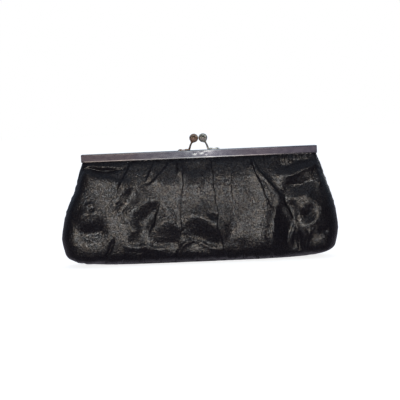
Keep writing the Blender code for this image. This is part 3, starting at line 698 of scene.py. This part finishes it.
def satin_panel(name, side, features, seed, ruffle):
    """One pleated side of the bag, from its seam with the base up into the bar's channel, with its edges turned in."""
    s = arc_spread(COLS)
    low, high = 0.8, 107.0
    base = np.linspace(0, 1, 4001)
    z0 = low + (high - low) * base
    y0 = wall(np.zeros_like(z0), z0)[1]
    length = np.concatenate([[0], np.cumsum(np.hypot(np.diff(z0), np.diff(y0)))])
    levels = np.interp(np.linspace(0, length[-1], ROWS), length, z0)
    S, Z = np.meshgrid(s, levels)
    # the panel's top edge: inside the channel along the middle, and drawn down at the two corners
    half_top = 117.6
    over = smooth((np.abs(S) * half_top - 108.5) / 4.5)
    top = high - (high - CORNER_TOP) * over
    Z = low + (Z - low) * (top - low) / (high - low)
    x, y = wall(S, Z)
    X = x + lean(Z)
    # where each point lies on the flattened picture of the panel
    flat_x = X * (1 + (y - 6.6) / 1100)
    flat_z = Z - (y - 6.6) * math.tan(math.radians(4.0))
    R = folded(flat_x, flat_z, features, seed)
    edge = smooth((1 - np.abs(S)) / 0.075)
    R = R * edge * smooth((Z - 0.2) / 5.5) * smooth((104.6 - Z) / 7.0)
    # gathers squeezed into the channel
    gather = noise(X, Z, 1.9, 30, seed + 20) * 0.30 + noise(X, Z, 4.2, 40, seed + 21) * 0.32
    gather = gather * (1 + 1.8 * np.exp(-((X - ruffle[0]) / ruffle[1]) ** 4))
    R += gather * np.exp(-((Z - 102.0) / 3.6) ** 2) * edge
    # short puckers along the seam with the base
    pucker = noise(X, Z, 2.8, 30, seed + 22) * 0.5 + noise(X, Z, 6.5, 30, seed + 23) * 0.8
    R += noise(X, Z, 5.5, 40, seed + 24) * 0.42 * np.exp(-((Z - 9.0) / 6.5) ** 2) * edge
    R += pucker * np.exp(-(np.maximum(Z - 3.5, 0) / 5.0) ** 2) * smooth((Z - 0.8) / 1.2)
    # normals of the plain wall, so that folds stand out squarely
    px, py, pz = X, y, Z
    du = np.stack([np.gradient(px, axis=1), np.gradient(py, axis=1), np.gradient(pz, axis=1)], -1)
    dv = np.stack([np.gradient(px, axis=0), np.gradient(py, axis=0), np.gradient(pz, axis=0)], -1)
    n = np.cross(dv, du)
    n /= np.maximum(np.linalg.norm(n, axis=-1, keepdims=True), 1e-9)
    n *= np.sign(np.where(np.abs(n[..., 1:2]) > 1e-6, n[..., 1:2], 1))
    P = np.stack([px, py, pz], -1) + n * R[..., None]
    # the side seam pulls the cloth in a little and puckers it
    near = np.exp(-((P[..., 1] - CENTRE_GAP) / 1.9) ** 2) * (np.abs(S) > 0.5)
    pull = 0.95 + 0.30 * noise(Z, Z * 0, 3.1, 9, seed + 30) + 0.22 * noise(Z, Z * 0, 1.3, 9, seed + 31)
    below = 1 - 0.55 * smooth((Z - 62) / 10)
    P[..., 0] -= np.sign(S) * near * pull * below
    spread_out = np.exp(-((P[..., 1] - 3.2) / 2.6) ** 2) * (np.abs(S) > 0.8)
    P[..., 0] += np.sign(S) * spread_out * 0.45 * noise(Z, P[..., 1], 3.4, 7, seed + 32)
    P[..., 1] = np.maximum(P[..., 1], CENTRE_GAP)
    # turned-in edges, both pressed towards the rear so that the seam is closed
    inward = np.array([0.35, 1.1, 2.2, 3.6])
    lift = np.array([-0.08, -0.22, -0.34, -0.44] if side < 0 else [0.02, 0.12, 0.22, 0.30])
    left, right = [], []
    for d, k in zip(inward, lift):
        a, b = P[:, 0].copy(), P[:, -1].copy()
        a[:, 0] += d
        b[:, 0] -= d
        a[:, 1] = CENTRE_GAP + k
        b[:, 1] = CENTRE_GAP + k
        left.insert(0, a)
        right.append(b)
    P = np.concatenate([np.stack(left, 1), P, np.stack(right, 1)], axis=1)
    P[..., 1] *= side
    obj = sheet_object(name, P, flip=side > 0)
    paint(obj, SATIN)
    word = "front" if side < 0 else "rear"
    bends(obj)
    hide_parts(word + "_satin_panel", word + "_padding_lower", word + "_padding_upper")
    return obj


def outline(half_x, half_y, squareness, steps):
    a = 2 * math.pi * np.arange(steps) / steps
    c, s = np.cos(a), np.sin(a)
    return np.stack([np.sign(c) * half_x * np.abs(c) ** (2 / squareness), np.sign(s) * half_y * np.abs(s) ** (2 / 2.2)], -1)


def satin_base():
    """The cloth under the bag: flat where the board presses it down, with a puckered rim at its seam."""
    steps, rings = 420, 26
    rim = outline(108.6, 12.9, 3.6, steps)
    out = []
    for k in range(rings):
        t = 1 - k / (rings - 1) * 0.985
        p = rim * t
        d = (1 - t) * 11.7
        rise = 0.85 * math.exp(-(d / 0.9) ** 2)
        z = 0.12 + rise + 0.05 * noise(p[:, 0], p[:, 1], 9, 5, 61) + 0.10 * math.exp(-(d / 2.5) ** 2) * noise(p[:, 0], p[:, 1], 2.6, 30, 62)
        out.append(np.stack([p[:, 0] + lean(0.0), p[:, 1], np.maximum(z, 0.02)], -1))
    obj = sheet_object("satin_base_cloth", np.array(out), wrap=True, flip=True)
    bm = bmesh.new()
    bm.from_mesh(obj.data)
    open_edges = [e for e in bm.edges if e.is_boundary and all(abs(v.co.x) < 0.02 for v in e.verts)]
    bmesh.ops.contextual_create(bm, geom=open_edges)
    for f in bm.faces:
        f.smooth = True
    bm.to_mesh(obj.data)
    bm.free()
    paint(obj, SATIN)
    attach(obj, "bag")
    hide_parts("satin_base")
    return obj


# ---------------------------------------------------------------- lining
def lining_panel(name, side, seed):
    s = arc_spread(241)
    rows = 91
    base = np.linspace(0, 1, 2001)
    low, high = 1.4, 108.0
    z0 = low + (high - low) * base
    y0 = wall(np.zeros_like(z0), z0, 3.4, False)[1]
    length = np.concatenate([[0], np.cumsum(np.hypot(np.diff(z0), np.diff(y0)))])
    levels = np.interp(np.linspace(0, length[-1], rows), length, z0)
    S, Z = np.meshgrid(s, levels)
    narrow = smooth((Z - 44) / 12)
    half_now = station(Z, 1) - 3.4
    half = np.minimum(half_now, (1 - narrow) * 140 + narrow * 109.6)
    x, y = wall(S, Z, 3.4, False)
    reach_s = S * half / half_now
    y = wall(reach_s, Z, 3.4, False)[1]
    close = smooth((np.abs(S) - 0.965) / 0.035) * narrow
    y = y * (1 - close) + (CENTRE_GAP + 0.35) * close
    X = S * half + lean(Z) * (1 - narrow)
    lift = np.clip((16 - Z) / 14, 0, 1)
    Zr = Z + 3.4 * lift
    w = 0.45 * noise(X, Z, 22, 30, seed) + 0.22 * noise(X + 0.4 * Z, Z, 9, 26, seed + 1) + 0.08 * noise(X, Z, 4, 14, seed + 2)
    w += -0.35 * np.abs(noise(X * 0.9 + Z * 0.5, Z, 15, 40, seed + 3)) ** 0.5
    mid = smooth((1 - np.abs(S)) / 0.1) * smooth((Zr - 4) / 10) * smooth((101 - Z) / 12)
    y = np.maximum(y + w * mid, CENTRE_GAP + 0.2)
    P = np.stack([X, side * y, Zr], -1)
    obj = sheet_object(name, P, flip=side < 0)
    paint(obj, LINING)
    word = "front" if side < 0 else "rear"
    bends(obj)
    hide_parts(word + "_lining")
    return obj


def lining_base():
    steps, rings = 260, 20
    rim = outline(104.4, 9.2, 3.4, steps)
    out = []
    for k in range(rings):
        t = 1 - k / (rings - 1) * 0.985
        p = rim * t
        d = (1 - t) * 9.2
        z = 3.35 + 1.5 * math.exp(-(d / 1.2) ** 2) + 0.12 * noise(p[:, 0], p[:, 1], 12, 6, 71)
        out.append(np.stack([p[:, 0] + lean(0.0), p[:, 1], z], -1))
    obj = sheet_object("lining_base_cloth", np.array(out), wrap=True)
    bm = bmesh.new()
    bm.from_mesh(obj.data)
    open_edges = [e for e in bm.edges if e.is_boundary and all(abs(v.co.x) < 0.02 for v in e.verts)]
    bmesh.ops.contextual_create(bm, geom=open_edges)
    for f in bm.faces:
        f.smooth = True
    bm.to_mesh(obj.data)
    bm.free()
    paint(obj, LINING)
    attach(obj, "bag")
    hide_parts("lining_base")
    return obj


def pocket_place(c, z, inset):
    """A point of the slip pocket on the rear lining: c from -1 to 1 across it."""
    half = station(z, 1) - inset
    s = 48.0 * c / half
    y = wall(s, z, inset, False)[1]
    return np.stack([48.0 * c + lean(z) * 0.5, y, z], -1)


def slip_pocket():
    """A flat lining pocket with a doubled, topstitched upper hem, sewn down along its sides."""
    c = np.linspace(-1, 1, 121)
    z = np.linspace(12.5, 50.0, 61)
    C, Z = np.meshgrid(c, z)
    P = pocket_place(C, Z, 4.5)
    sag = 0.35 * noise(P[..., 0], Z, 16, 18, 81) + 0.12 * noise(P[..., 0], Z, 6, 8, 82)
    inside = smooth((1 - np.abs(C)) / 0.12) * smooth((Z - 12.5) / 6)
    mouth = np.exp(-((Z - 50) / 7.0) ** 2) * (1 - C**2)
    P[..., 1] -= np.clip(sag, -0.2, 0.5) * inside + 1.3 * mouth * inside
    hem = smooth((Z - 43.6) / 0.5)
    P[..., 1] -= 0.22 * hem
    fold = P[-1].copy()
    rows = []
    for k in range(1, 7):
        a = math.pi * k / 6
        q = fold.copy()
        q[:, 2] += 0.35 * math.sin(a)
        q[:, 1] += 0.35 * (1 - math.cos(a))
        rows.append(q)
    for drop in (1.5, 3.2, 5.0, 6.2):
        q = P[np.argmin(np.abs(z - (50 - drop)))].copy()
        q[:, 1] += 0.55
        q[:, 2] = 50 - drop
        rows.append(q)
    grid = np.concatenate([P, np.stack(rows)], axis=0)
    obj = sheet_object("slip_pocket_cloth", grid, flip=True)
    paint(obj, LINING)
    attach(obj, "bag")
    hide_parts("slip_pocket")
    # stitches along the hem and down both sides
    bm = bmesh.new()
    for at in np.arange(-46.0, 46.1, 2.4):
        p = pocket_place(np.array(at / 48), np.array(44.4), 4.5)
        i, j = int(round((44.4 - 12.5) / 37.5 * 60)), int(round((at / 48 + 1) * 60))
        p = P[i, j].copy()
        stitch(bm, p + np.array([-0.8, -0.16, 0]), p + np.array([0.8, -0.16, 0]))
    for end in (-1, 1):
        for zz in np.arange(14.0, 49.0, 2.4):
            i, j = int(round((zz - 12.5) / 37.5 * 60)), int(round((end * 0.965 + 1) * 60))
            p = P[i, j].copy()
            stitch(bm, p + np.array([0, -0.16, -0.8]), p + np.array([0, -0.16, 0.8]))
    sewn = from_bmesh("slip_pocket_stitches", bm)
    paint(sewn, THREAD)
    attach(sewn, "bag")
    return obj


def stitch(bm, a, b, r=0.17):
    """One short lens-shaped stitch of thread."""
    a, b = Vector(a), Vector(b)
    ahead = (b - a).normalized()
    side = ahead.cross(Vector((0, 1, 0))).normalized()
    up = side.cross(ahead).normalized()
    rings = []
    for t, k in ((0.0, 0.25), (0.18, 0.8), (0.5, 1.0), (0.82, 0.8), (1.0, 0.25)):
        p = a.lerp(b, t)
        rings.append([bm.verts.new(p + r * k * (side * math.cos(2 * math.pi * n / 8) + up * math.sin(2 * math.pi * n / 8))) for n in range(8)])
    for p, q in zip(rings, rings[1:]):
        for n in range(8):
            bm.faces.new((p[n], q[n], q[(n + 1) % 8], p[(n + 1) % 8]))
    bm.faces.new(rings[0][::-1])
    bm.faces.new(rings[-1])


# ---------------------------------------------------------------- metal frame
def frame_bar(name, side, body):
    """One bar: a channel folded from sheet, with rounded folds, closed square ends and a rolled bright lower edge."""
    # section in (distance from the middle plane, height), counter-clockwise, from the outer lip round the top to the inner lip
    o, i = CENTRE_GAP + BAR_DEPTH, CENTRE_GAP
    low, high, t = BAR_LOW, BODY_HEIGHT, 0.8

    def corner(cx, cz, r, a0, a1, n=7):
        return [(cx + r * math.cos(math.radians(a0 + (a1 - a0) * k / (n - 1))), cz + r * math.sin(math.radians(a0 + (a1 - a0) * k / (n - 1)))) for k in range(n)]

    dents = ((-4.4, 108.8, 0.24), (2.6, 109.2, 0.16), (7.3, 107.6, 0.06)) if side < 0 else ((31.0, 107.5, 0.06),)
    r = 0.95
    outer = []
    outer += corner(o - 0.42, low + 0.42, 0.42, 270, 360, 6)
    outer += [(o - 0.01, low + 0.5), (o - 0.03, low + 0.62), (o - 0.10, low + 1.05), (o - 0.12, low + 1.14), (o - 0.10, low + 1.22),
              (o - 0.05, low + 1.34), (o - 0.05, low + 1.5)]
    outer += [(o - 0.05, low + 1.5 + 0.5 * k) for k in range(1, 9)]
    outer += [(o - 0.05, low + 5.9), (o - 0.05, high - r - 0.3), (o - 0.05, high - r - 0.1)]
    outer += corner(o - 0.05 - r, high - r, r, 0, 90, 9)
    outer += [((o + i) / 2, high)]
    outer += corner(i + 0.6, high - 0.6, 0.6, 90, 180, 6)
    outer += [(i, low + 4.0), (i, low + 1.0)]
    outer += corner(i + 0.35, low + 0.35, 0.35, 180, 270, 5)
    inner = [(i + t, low + 0.1), (i + t, high - t), ((o + i) / 2, high - t), (o - t, high - t), (o - t, low + 0.1)]
    section = outer + inner
    n = len(section)
    # stations along the bar: closed ends, rounded
    stations = []
    end = BAR_HALF
    for x, shrink in ((-end, 0.55), (-end + 0.12, 0.22), (-end + 0.35, 0.06), (-end + 0.8, 0.0)):
        stations.append((x, shrink))
    xs = np.concatenate([np.linspace(-end + 3, -10, 56), np.linspace(-9.5, 9.5, 39), np.linspace(10, end - 3, 56)])
    stations += [(float(x), 0.0) for x in xs]
    stations += [(-x, s) for x, s in reversed(stations[:4])]
    bm = bmesh.new()
    cy, cz = (o + i) / 2, (low + high) / 2
    rings = []
    for x, shrink in stations:
        wobble = 0.03 * math.sin(x * 0.085 + 1.3) + 0.015 * math.sin(x * 0.27 + side)
        twist = 0.10 * math.exp(-((x + 6) / 30) ** 2) + 0.012 * math.sin(x * 0.12) + 0.03 * smooth((x - 20) / 90) - 0.15
        ring = []
        for k, (y, z) in enumerate(section):
            if k < len(outer):
                yy = y - math.copysign(min(shrink, abs(y - cy)), y - cy) if shrink else y
                zz = z - math.copysign(min(shrink, abs(z - cz)), z - cz) if shrink else z
            else:
                yy, zz = y, z
            bulge = (wobble * max(0.0, 1 - ((zz - cz) / 3.4) ** 2) - twist * (zz - cz) / 3.4) if y > cy and k < len(outer) else 0.0
            if y > o - 0.2 and k < len(outer):
                for dx, dz, deep in dents:
                    bulge -= deep * math.exp(-((x - dx) / 1.35) ** 2 - ((zz - dz) / 1.1) ** 2)
            ring.append(bm.verts.new((x, side * (yy + bulge - 0.05 * (y > cy)), zz)))
        rings.append(ring)
    for a, b in zip(rings, rings[1:]):
        for k in range(n):
            m = (k + 1) % n
            bm.faces.new((a[k], a[m], b[m], b[k]))
    # end caps: the plate that closes each end
    for ring, sign in ((rings[0], -1), (rings[-1], 1)):
        bm.faces.new(ring[:len(outer)] if sign > 0 else ring[:len(outer)][::-1])
    obj = from_bmesh(name, bm)
    bevel = obj.modifiers.new("soft_edges", "EDGE_SPLIT")
    bevel.split_angle = math.radians(48)
    paint(obj, FRAME)
    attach(obj, body)
    word = "front" if side < 0 else "rear"
    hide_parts(word + "_frame_bar")
    return obj


def clasp_points(side):
    path = [
        (12.5, 3.4, 111.98), (10.6, 3.4, 112.0), (9.75, 3.38, 112.35), (9.25, 3.3, 113.2), (8.75, 3.1, 114.7),
        (8.05, 2.45, 116.7), (6.95, 1.35, 118.8), (5.9, 0.45, 120.5), (5.2, -0.1, 121.9),
    ]
    return [Vector((side * x, side * y, z)) for x, y, z in path]


def smooth_path(points, count):
    p = np.array([tuple(v) for v in points])
    ext = np.vstack([2 * p[0] - p[1], p, 2 * p[-1] - p[-2]])
    out = []
    for g in np.linspace(0, len(p) - 1, count):
        i = min(int(g), len(p) - 2)
        t = g - i
        a, b, c, d = ext[i], ext[i + 1], ext[i + 2], ext[i + 3]
        out.append(0.5 * (2 * b + (c - a) * t + (2 * a - 5 * b + 4 * c - d) * t**2 + (3 * b - a - 3 * c + d) * t**3))
    return out


def clasp(side, body):
    """A leaf riveted on the bar, its stem bent up and over, and the ball on the stem's tip."""
    word = "front" if side < 0 else "rear"
    # leaf: a rounded tongue, slightly domed, with a waist where the stem starts
    cols, rows = 60, 15
    P = np.zeros((rows, cols, 3))
    xs = np.linspace(8.7, 21.0, cols)
    for j, x in enumerate(xs):
        tip = math.sqrt(max(1 - max((x - 18.9) / 2.1, 0) ** 2, 0.0))
        root = 0.62 + 0.38 * float(smooth((x - 8.7) / 3.0))
        half = 2.0 * tip * root
        for k in range(rows):
            v = 2 * k / (rows - 1) - 1
            z = 112.5 + 0.10 * (1 - v * v) * tip - 0.18 * abs(v) ** 6
            P[k, j] = (side * x, side * (3.4 + half * v), z)
    bm = bmesh.new()
    top = [[bm.verts.new(P[k, j]) for j in range(cols)] for k in range(rows)]
    low = [[bm.verts.new((P[k, j][0], P[k, j][1], 111.82)) for j in range(cols)] for k in range(rows)]
    for grid in (top, low):
        for k in range(rows - 1):
            for j in range(cols - 1):
                bm.faces.new((grid[k][j], grid[k][j + 1], grid[k + 1][j + 1], grid[k + 1][j]))
    for k in range(rows - 1):
        for j in (0, cols - 1):
            bm.faces.new((top[k][j], top[k + 1][j], low[k + 1][j], low[k][j]))
    for j in range(cols - 1):
        for k in (0, rows - 1):
            bm.faces.new((top[k][j], top[k][j + 1], low[k][j + 1], low[k][j]))
    bmesh.ops.remove_doubles(bm, verts=bm.verts, dist=0.01)
    # stem: swept bar, flat and wide at the leaf, round towards the ball
    path = smooth_path(clasp_points(side), 40)
    radii, flat = [], []
    for k in range(40):
        t = k / 39
        radii.append(float(np.interp(t, [0, 0.12, 0.3, 0.45, 0.7, 1.0], [0.9, 1.15, 1.2, 1.02, 0.92, 1.05])))
        flat.append(float(np.interp(t, [0, 0.12, 0.3, 0.55, 1.0], [1.1, 1.2, 1.15, 1.0, 1.0])))
    stem = tube(path, radii, 24, True, flat)
    grown = bpy.data.meshes.new("stem_part")
    stem.to_mesh(grown)
    stem.free()
    bm.from_mesh(grown)
    bpy.data.meshes.remove(grown)
    obj = from_bmesh(word + "_clasp_arm", bm)
    split = obj.modifiers.new("soft_edges", "EDGE_SPLIT")
    split.split_angle = math.radians(50)
    metal = COPPERY if side < 0 else OLIVE
    paint(obj, metal)
    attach(obj, body)
    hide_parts(word + "_clasp_stem")
    # ball with a small collar where it is pressed on the stem
    centre = Vector((side * 4.6, -side * 0.5, 123.5))
    tip, before = path[-1], path[-3]
    way = (Vector(tip) - Vector(before)).normalized()
    profile = []
    for k in range(33):
        a = math.pi * k / 32
        profile.append((-4.5 * math.cos(a), 4.5 * math.sin(a) if 0 < k < 32 else 0.0))
    bm = lathe(profile, (0, 0, 0), "Z", 64)
    for v in bm.verts:
        z = v.co.z
        dent = 0.05 * math.sin(v.co.x * 2.1 + 0.4) * math.sin(v.co.y * 1.7) * math.sin(z * 1.9)
        v.co *= 1 + dent * 0.12
    collar = lathe([(-4.55, 1.15), (-4.85, 1.45), (-4.6, 1.75), (-4.1, 1.9), (-4.0, 1.2), (-4.55, 1.15)], (0, 0, 0), "Z", 40)
    part = bpy.data.meshes.new("collar_part")
    collar.to_mesh(part)
    collar.free()
    bm.from_mesh(part)
    bpy.data.meshes.remove(part)
    turn = Vector((0, 0, 1)).rotation_difference(way).to_matrix()
    for v in bm.verts:
        v.co = centre + turn @ v.co
    ball = from_bmesh(word + "_clasp_knob", bm)
    paint(ball, metal)
    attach(ball, body)
    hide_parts(word + "_clasp_ball")
    # rivet heads with a fine ring pressed round them
    for letter, at in zip("ab", (12.6, 18.4)):
        head = lathe([
            (110.4, 0), (110.4, 0.7), (112.5, 0.7), (112.56, 1.5), (112.72, 1.58), (112.92, 1.45),
            (113.06, 1.15), (113.14, 0.75), (113.17, 0.35), (113.12, 0.0)], (side * at, side * 3.4, 0), "Z", 32)
        rivet = from_bmesh(f"{word}_leaf_rivet_{letter}", head)
        paint(rivet, metal)
        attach(rivet, body)
        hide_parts(f"{word}_clasp_rivet_{letter}")


# ---------------------------------------------------------------- side seam stitches
def side_stitches():
    """Short stitches across the seam that joins the two panels below the hinges."""
    bm = bmesh.new()
    for end in (-1, 1):
        for z in np.arange(6.0, 58.0, 3.1):
            x = float(end * (station(np.array(z), 1) - 0.75)) + float(lean(z))
            stitch(bm, (x, -0.75, z), (x, 0.75, z + 0.3), 0.16)
    obj = from_bmesh("side_seam_stitches", bm)
    paint(obj, THREAD)
    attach(obj, "bag")
    return obj


# ---------------------------------------------------------------- build
satin_base()
satin_panel("front_satin_cloth", -1, FRONT_FOLDS, 5, (90, 19))
satin_panel("rear_satin_cloth", 1, REAR_FOLDS, 205, (-40, 25))
lining_panel("front_lining_cloth", -1, 301)
lining_panel("rear_lining_cloth", 1, 341)
lining_base()
slip_pocket()
frame_bar("front_frame_bar_metal", -1, "front_frame")
frame_bar("rear_frame_bar_metal", 1, "rear_frame")
clasp(-1, "front_frame")
clasp(1, "rear_frame")
side_stitches()

# finishes for the CAD pieces that stay
for obj in [o for o in bpy.context.scene.objects if o.type == "MESH" and "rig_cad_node" in o and not o.hide_render]:
    name = obj.name
    if "arm" in name or "hinge" in name:
        mat = INNER
    elif "cord" in name:
        mat = CORD
    elif "board" in name:
        mat = BOARD
    else:
        mat = FRAME
    obj.data.materials.clear()
    obj.data.materials.append(mat)

# ---------------------------------------------------------------- floor, light and camera
floor_size = 30.0
bpy.ops.mesh.primitive_plane_add(size=floor_size, location=(0, 0, -0.0002))
floor = bpy.context.active_object
floor.name = "floor"
fm = bpy.data.materials.new("floor_paper")
fm.use_nodes = True
ft = fm.node_tree
principled = ft.nodes["Principled BSDF"]
principled.inputs["Base Color"].default_value = (FLOOR_TONE, FLOOR_TONE, FLOOR_TONE * 0.995, 1)
principled.inputs["Roughness"].default_value = 0.9
principled.inputs["Specular IOR Level"].default_value = 0.0
principled.inputs["Emission Color"].default_value = (1, 1, 1, 1)
principled.inputs["Emission Strength"].default_value = FLOOR_GLOW
other = ft.nodes.new("ShaderNodeEmission")
other.inputs["Color"].default_value = (*FLOOR_SHINE, 1)
path_node = ft.nodes.new("ShaderNodeLightPath")
mixer = ft.nodes.new("ShaderNodeMixShader")
ft.links.new(path_node.outputs["Is Camera Ray"], mixer.inputs[0])
ft.links.new(other.outputs[0], mixer.inputs[1])
ft.links.new(principled.outputs[0], mixer.inputs[2])
ft.links.new(mixer.outputs[0], ft.nodes["Material Output"].inputs["Surface"])
floor.data.materials.append(fm)

world = bpy.context.scene.world or bpy.data.worlds.new("studio")
bpy.context.scene.world = world
world.use_nodes = True
wt = world.node_tree
wt.nodes.clear()
out = wt.nodes.new("ShaderNodeOutputWorld")
lit = wt.nodes.new("ShaderNodeBackground")
seen = wt.nodes.new("ShaderNodeBackground")
seen.inputs["Color"].default_value = (*SEEN, 1)
coord = wt.nodes.new("ShaderNodeTexCoord")
split_xyz = wt.nodes.new("ShaderNodeSeparateXYZ")
height_ramp = wt.nodes.new("ShaderNodeValToRGB")
height_ramp.color_ramp.elements[0].position = 0.48
height_ramp.color_ramp.elements[0].color = (*SKY_LOW, 1)
height_ramp.color_ramp.elements[1].position = 0.85
height_ramp.color_ramp.elements[1].color = (*SKY_HIGH, 1)
half_up = wt.nodes.new("ShaderNodeMapRange")
half_up.inputs["From Min"].default_value = -1
half_up.inputs["From Max"].default_value = 1
ray = wt.nodes.new("ShaderNodeLightPath")
wmix = wt.nodes.new("ShaderNodeMixShader")
wt.links.new(coord.outputs["Generated"], split_xyz.inputs[0])
wt.links.new(split_xyz.outputs["Z"], half_up.inputs["Value"])
wt.links.new(half_up.outputs["Result"], height_ramp.inputs["Fac"])
behind = wt.nodes.new("ShaderNodeMapRange")  # dim in front of the purse, bright behind it
behind.inputs["From Min"].default_value = -0.5
behind.inputs["From Max"].default_value = 0.7
behind.inputs["To Min"].default_value = 0.10
behind.inputs["To Max"].default_value = 1.3
wt.links.new(split_xyz.outputs["Y"], behind.inputs["Value"])
wt.links.new(behind.outputs["Result"], lit.inputs["Strength"])
wt.links.new(height_ramp.outputs["Color"], lit.inputs["Color"])
wt.links.new(ray.outputs["Is Camera Ray"], wmix.inputs[0])
wt.links.new(lit.outputs[0], wmix.inputs[1])
wt.links.new(seen.outputs[0], wmix.inputs[2])
wt.links.new(wmix.outputs[0], out.inputs["Surface"])


def area_light(name, where, at, size, power, colour=(1, 1, 1), size_y=None):
    data = bpy.data.lights.new(name, "AREA")
    data.energy = power
    data.color = colour
    data.size = size
    if size_y:
        data.shape = "RECTANGLE"
        data.size_y = size_y
    obj = bpy.data.objects.new(name, data)
    obj.location = where
    obj.rotation_mode = "QUATERNION"
    obj.rotation_quaternion = (Vector(at) - Vector(where)).to_track_quat("-Z", "Y")
    bpy.context.scene.collection.objects.link(obj)
    return obj


def around(azimuth, elevation, distance, centre=(0, 0, 0.06)):
    a, e = math.radians(azimuth), math.radians(elevation)
    return Vector(centre) + distance * Vector((math.sin(a) * math.cos(e), -math.cos(a) * math.cos(e), math.sin(e)))


metal_flash = area_light("metal_flash", around(-2, 10.5, 1.15), (0, 0, 0.055), 0.4, 0.62, (1.0, 0.97, 0.95))
flash = area_light("flash", around(-5, 10.5, 1.15), (0, 0, 0.055), 0.10, 21.8, (1.0, 0.935, 0.88))
area_light("overhead", (0, -0.1, 1.3), (0, 0, 0.05), 0.9, 1.0, (0.84, 0.92, 1.0))
high_front = area_light("high_front", around(4, 50, 1.4), (0, 0, 0.08), 0.8, 5.0, (0.88, 0.92, 1.0))
area_light("left_soft", around(-48, 14, 1.7), (0, 0, 0.06), 0.7, 1.4, (1.0, 0.98, 0.95))
back_soft = area_light("back_soft", around(158, 20, 1.7), (0, 0, 0.06), 0.8, 12, (1.0, 0.98, 0.95))
area_light("side_soft", around(75, 30, 1.6), (0, 0, 0.06), 0.6, 1.6, (0.96, 0.98, 1.0))
# the strongest lights are for the dark cloth only, and a weaker flash lights the rest, so that the bright metal isn't burnt out
cloth_only = bpy.data.collections.new("lit_by_flash")
metal_only = bpy.data.collections.new("lit_by_metal_flash")
for obj in list(bpy.context.scene.objects):
    if obj.type == "MESH" and obj != floor:
        (cloth_only if "cloth" in obj.name or "stitch" in obj.name else metal_only).objects.link(obj)
for lamp in (flash, high_front, back_soft):
    lamp.light_linking.receiver_collection = cloth_only
metal_flash.light_linking.receiver_collection = metal_only

cam_data = bpy.data.cameras.new("camera")
cam = bpy.data.objects.new("camera", cam_data)
bpy.context.scene.collection.objects.link(cam)
cam_data.sensor_width = 36
cam_data.lens = CAM_LENS
cam_data.clip_start, cam_data.clip_end = 0.05, 60
cam.rotation_mode = "QUATERNION"
target = Vector(CAM_TARGET)
cam.location = around(0, CAM_UP, CAM_FAR, target)
turn = (target - cam.location).to_track_quat("-Z", "Y")
cam.rotation_quaternion = turn @ Matrix.Rotation(math.radians(CAM_ROLL), 4, "Z").to_quaternion()
bpy.context.scene.camera = cam

scene = bpy.context.scene
scene.view_settings.view_transform = "Standard"
scene.view_settings.look = "None"
scene.view_settings.exposure = 0.0
scene.view_settings.gamma = 1.0
